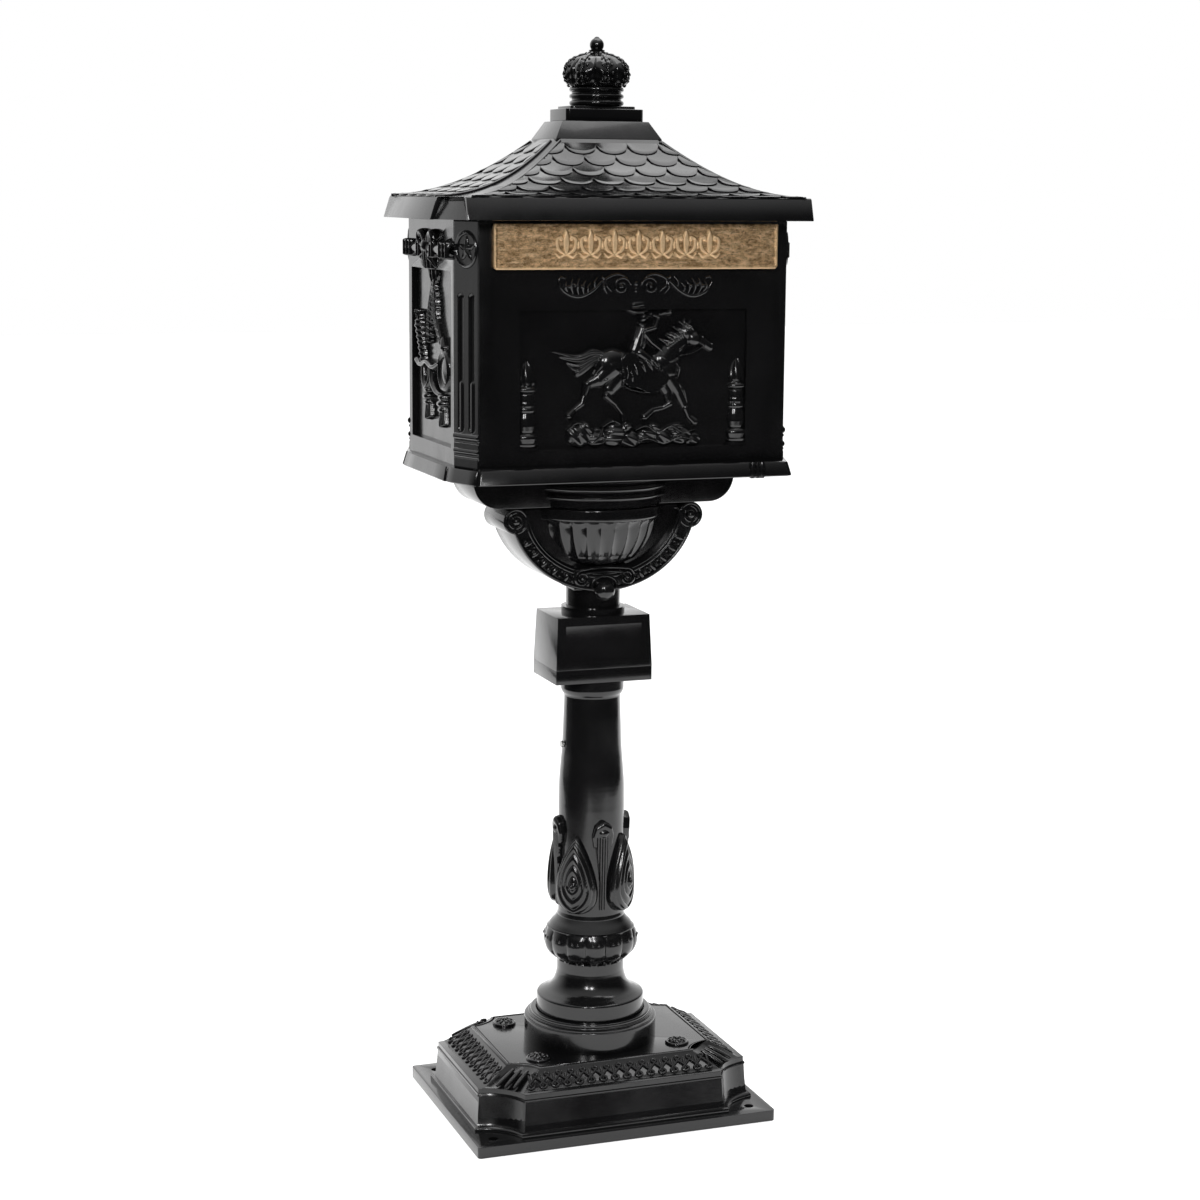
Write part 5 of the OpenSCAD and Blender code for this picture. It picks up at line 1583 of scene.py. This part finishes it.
def side_figure(y, z):
    """Trophy of a bound rod, straps, a round flask, a quiver and two tassels."""
    limbs = [([(-76, 933.5), (76, 933.5)], [7.2, 7.2], 1.0)]
    for c in (-78, -66, -54, -28, -20, 20, 28, 54, 66, 78):
        limbs.append(([(c, 926.5), (c, 940.5)], [2.3, 2.3], 3.9))
    curls = []
    for s in (-1, 1):
        bow = [(2 * s, 936), (13 * s, 948), (23 * s, 949.5), (25 * s, 941), (10 * s, 935)]
        curls.append((bow, [3.4, 3.8, 4.2, 3.8, 3.2], 2.3))
        curls.append(([(3 * s, 931), (15 * s, 925), (23 * s, 916)], [3.0, 4.4, 1.6], 2.0))
    straps = ([(-1, 902), (-9, 884), (-14, 862), (-33, 838)], [(-6, 902), (3, 880), (10, 862), (14, 838)])
    for strap in straps:
        for shift in (-3.2, 0.4, 4.0):
            curls.append(([(a + shift, b) for a, b in strap], [1.9, 2.3, 2.3, 1.9], 2.5))
        line = flowing(strap, 12)
        for share in np.linspace(0.15, 0.9, 9):
            a, b = line[int(share * 36)]
            limbs.append(([(a - 5.4, b - 1), (a + 6.2, b + 1)], [1.1, 1.1], 5.0))
    limbs.append(([(-44, 835), (-38, 843)], [4.2, 3.0], 1.9))
    for k in (-1, 0, 1):
        limbs.append(([(48 + 3 * k, 856), (51 + 4.4 * k, 868)], [1.5, 2.0], 3.6))
    curls += [
        ([(54, 817), (38, 813), (18, 817), (-6, 813), (-24, 818)], [3.2, 3.6, 3.4, 3.6, 2.6], 2.4),
        ([(34, 811), (30, 797), (18, 790), (8, 800), (12, 811)], [3.0, 3.6, 3.8, 3.4, 2.6], 2.0),
        ([(4, 812), (-2, 798), (-16, 789), (-30, 786)], [3.0, 3.6, 3.6, 3.0], 2.1),
    ]
    for c, top in ((16, 792), (-36, 788)):
        for dz, r in ((0, 3.844), (-6.4, 4.588), (-12.6, 3.968)):
            limbs.append(([(c - 2.6, top - 4 + dz), (c + 2.6, top - 4 + dz)], [r, r], 2.0))
        for k in range(-3, 4):
            thread = [(c + k * 1.9, top - 19), (c + k * 2.9, top - 33 + abs(k) * 0.9)]
            limbs.append((thread, [1.8, 2.1], 3.6 - abs(k) * 0.35))
    cape = limb(y, z, [(0, 928), (-2, 910), (-4, 896)], [19, 14, 6.5], 0.42)
    cape = np.where(cape > 0, cape + 0.9 * np.cos(y * 0.85), -1)
    far = np.hypot((y + 48) / 19, (z - 812) / 21.5)
    ring = 3.2 * np.exp(-(((far - 0.86) / 0.1) ** 2))
    button = 2.4 * np.clip(1 - far / 0.62, 0, 1) ** 0.5
    flask = np.where(far < 1, 4.4 + ring + button, -1)
    quiver = limb(y, z, [(48, 855), (40, 836), (35, 817)], [6.4, 5.8, 4.8], 1.35)
    quiver = np.where(quiver > 0, quiver + 0.7 * np.sin(z * 1.1), -1)
    return joined(cape, flask, quiver, figure(y, z, limbs, curls, [((0, 937), (9, 9), 0, 11.5)]))


def make_side_reliefs():
    """The same trophy on both side panels, with the rod across the field's top edge."""
    face = HALF[0] - FIELD_DEPTH
    for name, s in (("left", -1), ("right", 1)):
        shape = Shape()

        def place(u, v, w, s=s):
            z = v + FIELD_FOOT
            step = np.where(z > FIELD_TOP, FIELD_DEPTH, 0.0)
            reach = np.where(w > 0, face + np.maximum(w + 0.4, step + w * 0.9), face - 0.4)
            return np.stack([s * reach, u, z], -1)

        relief(shape, place, 163, 222, 0.6, lambda u, v: side_figure(u, v + FIELD_FOOT))
        shape.make(name + "_side_relief", sharp=80)


# On a corner facet, heights above the box's foot
STAR_Z = 217.5
FLUTE_LOW = 36.0
FLUTE_TOP = 174.0
FLUTE_R = 5.2
FLUTE_DEPTH = 2.7
REED_TOP = 88.5
REED_R = 3.9


def facet_surface(u, v):
    """Depth of a corner facet: a star medallion, two flutes with reeds low down, and a moulded foot."""
    w = np.zeros_like(u)
    for c in (-8.8, 8.8):
        inside = np.minimum(v - FLUTE_LOW, FLUTE_TOP - v)
        near = np.hypot(u - c, np.minimum(inside - FLUTE_R, 0))
        hollow = np.sqrt(np.maximum(1 - (near / FLUTE_R) ** 2, 0))
        w = np.where(near < FLUTE_R, np.minimum(w, -FLUTE_DEPTH * hollow), w)
        near = np.hypot(u - c, np.maximum(v - (REED_TOP - 4.6), 0))
        reed = (near < REED_R) & (v > 37.0)
        w = np.where(reed, np.maximum(w, -2.5 + 2.9 * np.sqrt(np.maximum(1 - (near / REED_R) ** 2, 0))), w)
    far = np.hypot(u, v - STAR_Z)
    w = np.where(far < 16.2, np.minimum(w, -0.9), w)
    w = w + np.where(far < 18.4, 2.0 * np.exp(-(((far - 16.6) / 1.05) ** 2)), 0)
    turn = np.mod(np.arctan2(u, v - STAR_Z) + math.pi / 5, 2 * math.pi / 5) - math.pi / 5
    arm = (13.0 - far) / 13.0 - np.abs(np.sin(turn)) * 1.55 * far / (far + 1.2)
    w = w + np.where((far < 13) & (arm > 0), 0.7 + 3.4 * np.clip(arm, 0, 1) ** 0.8, 0)
    for z, r, high in ((32.0, 3.1, 2.3), (26.4, 1.5, 1.0), (17.5, 2.7, 2.0), (12.8, 1.4, 0.9)):
        w = w + high * np.sqrt(np.clip(1 - ((v - z) / r) ** 2, 0, 1))
    return w + np.where(v < 10.5, 0.7, 0)


def make_pilaster(name, sx, sy):
    """Corner strip: a modelled facet in front of a plain backing that laps the panels."""
    width = math.hypot(*CORNER)
    height = BOX_HIGH - BOX_LOW
    normal = np.array([CORNER[1], CORNER[0]]) / width
    along = np.array([-normal[1], normal[0]])
    middle = np.array([HALF[0] - CORNER[0] / 2, HALF[1] - CORNER[1] / 2])
    skin, wall, lap = 3.6, 4.0, 6.2
    shape = Shape()

    def place(u, v, w):
        spot = middle[:, None] + along[:, None] * u.ravel() + normal[:, None] * (w - skin).ravel()
        return np.stack([sx * spot[0], sy * spot[1], v.ravel() + BOX_LOW], -1)

    def rise(u, v):
        border = np.minimum(np.minimum(u + width / 2, width / 2 - u), np.minimum(v, height - v))
        return np.where(border > 0.05, skin + facet_surface(u, v) - 0.5 * (border < 0.7), 0)

    relief(shape, place, width, height, 0.62, rise, 0.0)
    inner, side = HALF[1] - wall, HALF[0] - wall
    backed = normal * (skin - 0.2)
    section = [
        (HALF[0] - backed[0], FLAT[1] - backed[1]),
        (FLAT[0] - backed[0], HALF[1] - backed[1]),
        (FLAT[0], inner),
        (FLAT[0] - lap, inner),
        (FLAT[0] - lap, inner - wall),
        (FLAT[0] + 1, inner - wall),
        (side - wall, FLAT[1] + 1),
        (side - wall, FLAT[1] - lap),
        (side, FLAT[1] - lap),
        (side, FLAT[1]),
    ]
    prism(shape, section, lambda u, v, w: (sx * u, sy * v, w), BOX_LOW, BOX_HIGH)
    shape.make(name + "_cast", replaces=(name,), sharp=50)


# ---------------------------------------------------------------- flap

flap_low, flap_high = span("mail_flap")
MOTIF_PITCH = 25.5


def flap_face(u, v):
    """The hand-worked waves of the flap's face, and the heights of its leaf motifs."""
    rng = np.random.default_rng(7)
    worked = np.zeros_like(u)
    for _ in range(14):
        across, up = rng.uniform(0.12, 0.6), rng.uniform(0.1, 0.7)
        shift, height = rng.uniform(0, 6.3), rng.uniform(0.02, 0.05)
        worked = worked + height * np.sin(u * across + v * up + shift)
    curls, mounds = [], []
    for k in range(-3, 4):
        c = k * MOTIF_PITCH
        mounds.append(((c, 26.5), (3.3, 12.6), 0, 3.0))
        for s in (-1, 1):
            blade = [(c + s * 1.5, 15), (c + s * 8.4, 20.5), (c + s * 9.6, 29.5), (c + s * 5.4, 32.5)]
            curls.append((blade, [1.3, 1.9, 1.8, 1.4], 1.5))
            mounds.append(((c + s * 5.4, 30.6), (2.5, 2.5), 0, 2.6))
            foot = [(c + s * 1.5, 15), (c + s * 7.0, 12.6), (c + s * 11.0, 15.8)]
            curls.append((foot, [1.2, 1.7, 1.0], 1.5))
        if k < 3:
            mounds.append(((c + MOTIF_PITCH / 2, 24.5), (1.9, 4.2), 0, 2.2))
    return worked, figure(u, v, curls=curls, mounds=mounds)


def make_flap():
    """Brass flap with a raised rim, a hand-worked face with leaf motifs, and returns that hold its pins."""
    shape = Shape()
    width, height = flap_high[0] - flap_low[0], flap_high[2] - flap_low[2]
    front, foot = -flap_low[1], flap_low[2]
    thick, corner = 2.4, 5.0

    def rise(u, v):
        dx = np.abs(u) - (width / 2 - corner)
        dz = corner - v
        rounded = corner - np.hypot(np.maximum(dx, 0), np.maximum(dz, 0))
        edge = np.minimum(np.minimum(width / 2 - np.abs(u), v), np.where((dx > 0) & (dz > 0), rounded, 99))
        worked, motif = flap_face(u, v)
        rim = 1.15 * np.clip(1 - np.abs(edge - 1.7) / 1.9, 0, 1) ** 0.5
        flare = 0.8 * np.clip(1 - v / 10, 0, 1) ** 2 * np.clip((np.abs(u) - width / 2 + 26) / 26, 0, 1)
        raised = np.where(motif > 0, np.minimum(motif, 2.2) * 0.7, 0)
        w = thick - 0.9 + worked * 0.5 + raised + rim + flare
        return np.where(np.minimum(edge, height - v) > 0.05, w, 0)

    def brightened(u, v):
        """How bright the metal is painted on the rim and the tops of the motifs: rubbed wear and painted
        highlight.
        """
        motif = flap_face(u, v)[1]
        edge = np.minimum(width / 2 - np.abs(u), v)
        return np.clip(np.clip(motif - 0.6, 0, 1) * 0.85 + np.clip(1.25 - edge / 2.6, 0, 1) * 0.8, 0, 1)

    def place(u, v, w):
        return np.stack([u, -front + thick - w, v + foot], -1)

    # The last argument paints the rim's sides and foot and the motif tops brighter: rubbed wear and painted
    # highlight.
    relief(shape, place, width, height, 0.5, rise, 0.0, brightened)
    hinge = next(j for j in frame["joints"] if j["name"] == "flap_hinge")
    _, pivot_y, pivot_z = np.array(hinge["pos_m"]) / MM
    skin, reach = -front + 1.2, -HALF[1] - 0.4
    outline = [(skin, foot + 2.5), (reach, foot + 2.5), (reach, pivot_z)]
    outline += arc((pivot_y, pivot_z), 2.5, 0, 90, 7) + [(skin, pivot_z + 2.5)]
    for s in (-1, 1):
        low, high = sorted((s * (width / 2 - 0.2), s * (width / 2 - 3.0)))
        prism(shape, outline, lambda u, v, w: (w, u, v), low, high)
    flange = [(skin, foot + 0.6), (reach, foot + 0.6), (reach, foot + 2.8), (skin, foot + 2.8)]
    prism(shape, flange, lambda u, v, w: (w, u, v), -width / 2 + 4, width / 2 - 4)
    shape.make("mail_flap_worked", slot="antique_brass", body="flap", replaces=("mail_flap",), sharp=60)


make_arch()
make_bracket_ornament()
make_urn()
make_beam()
make_ledge()
make_front_ornament()
make_obelisks()
make_rider()
make_side_reliefs()
for row, sy in (("front", -1), ("rear", 1)):
    for end, sx in (("_left", -1), ("_right", 1)):
        make_pilaster(row + end + "_pilaster", sx, sy)
make_flap()
softened("front_panel", 0.8)
softened("left_panel", 0.8)
softened("right_panel", 0.8)
softened("rear_frame", 0.6)
softened("block_casting", 1.3)
softened("block_cap", 1.3)
softened("rear_door", 0.6, "door")
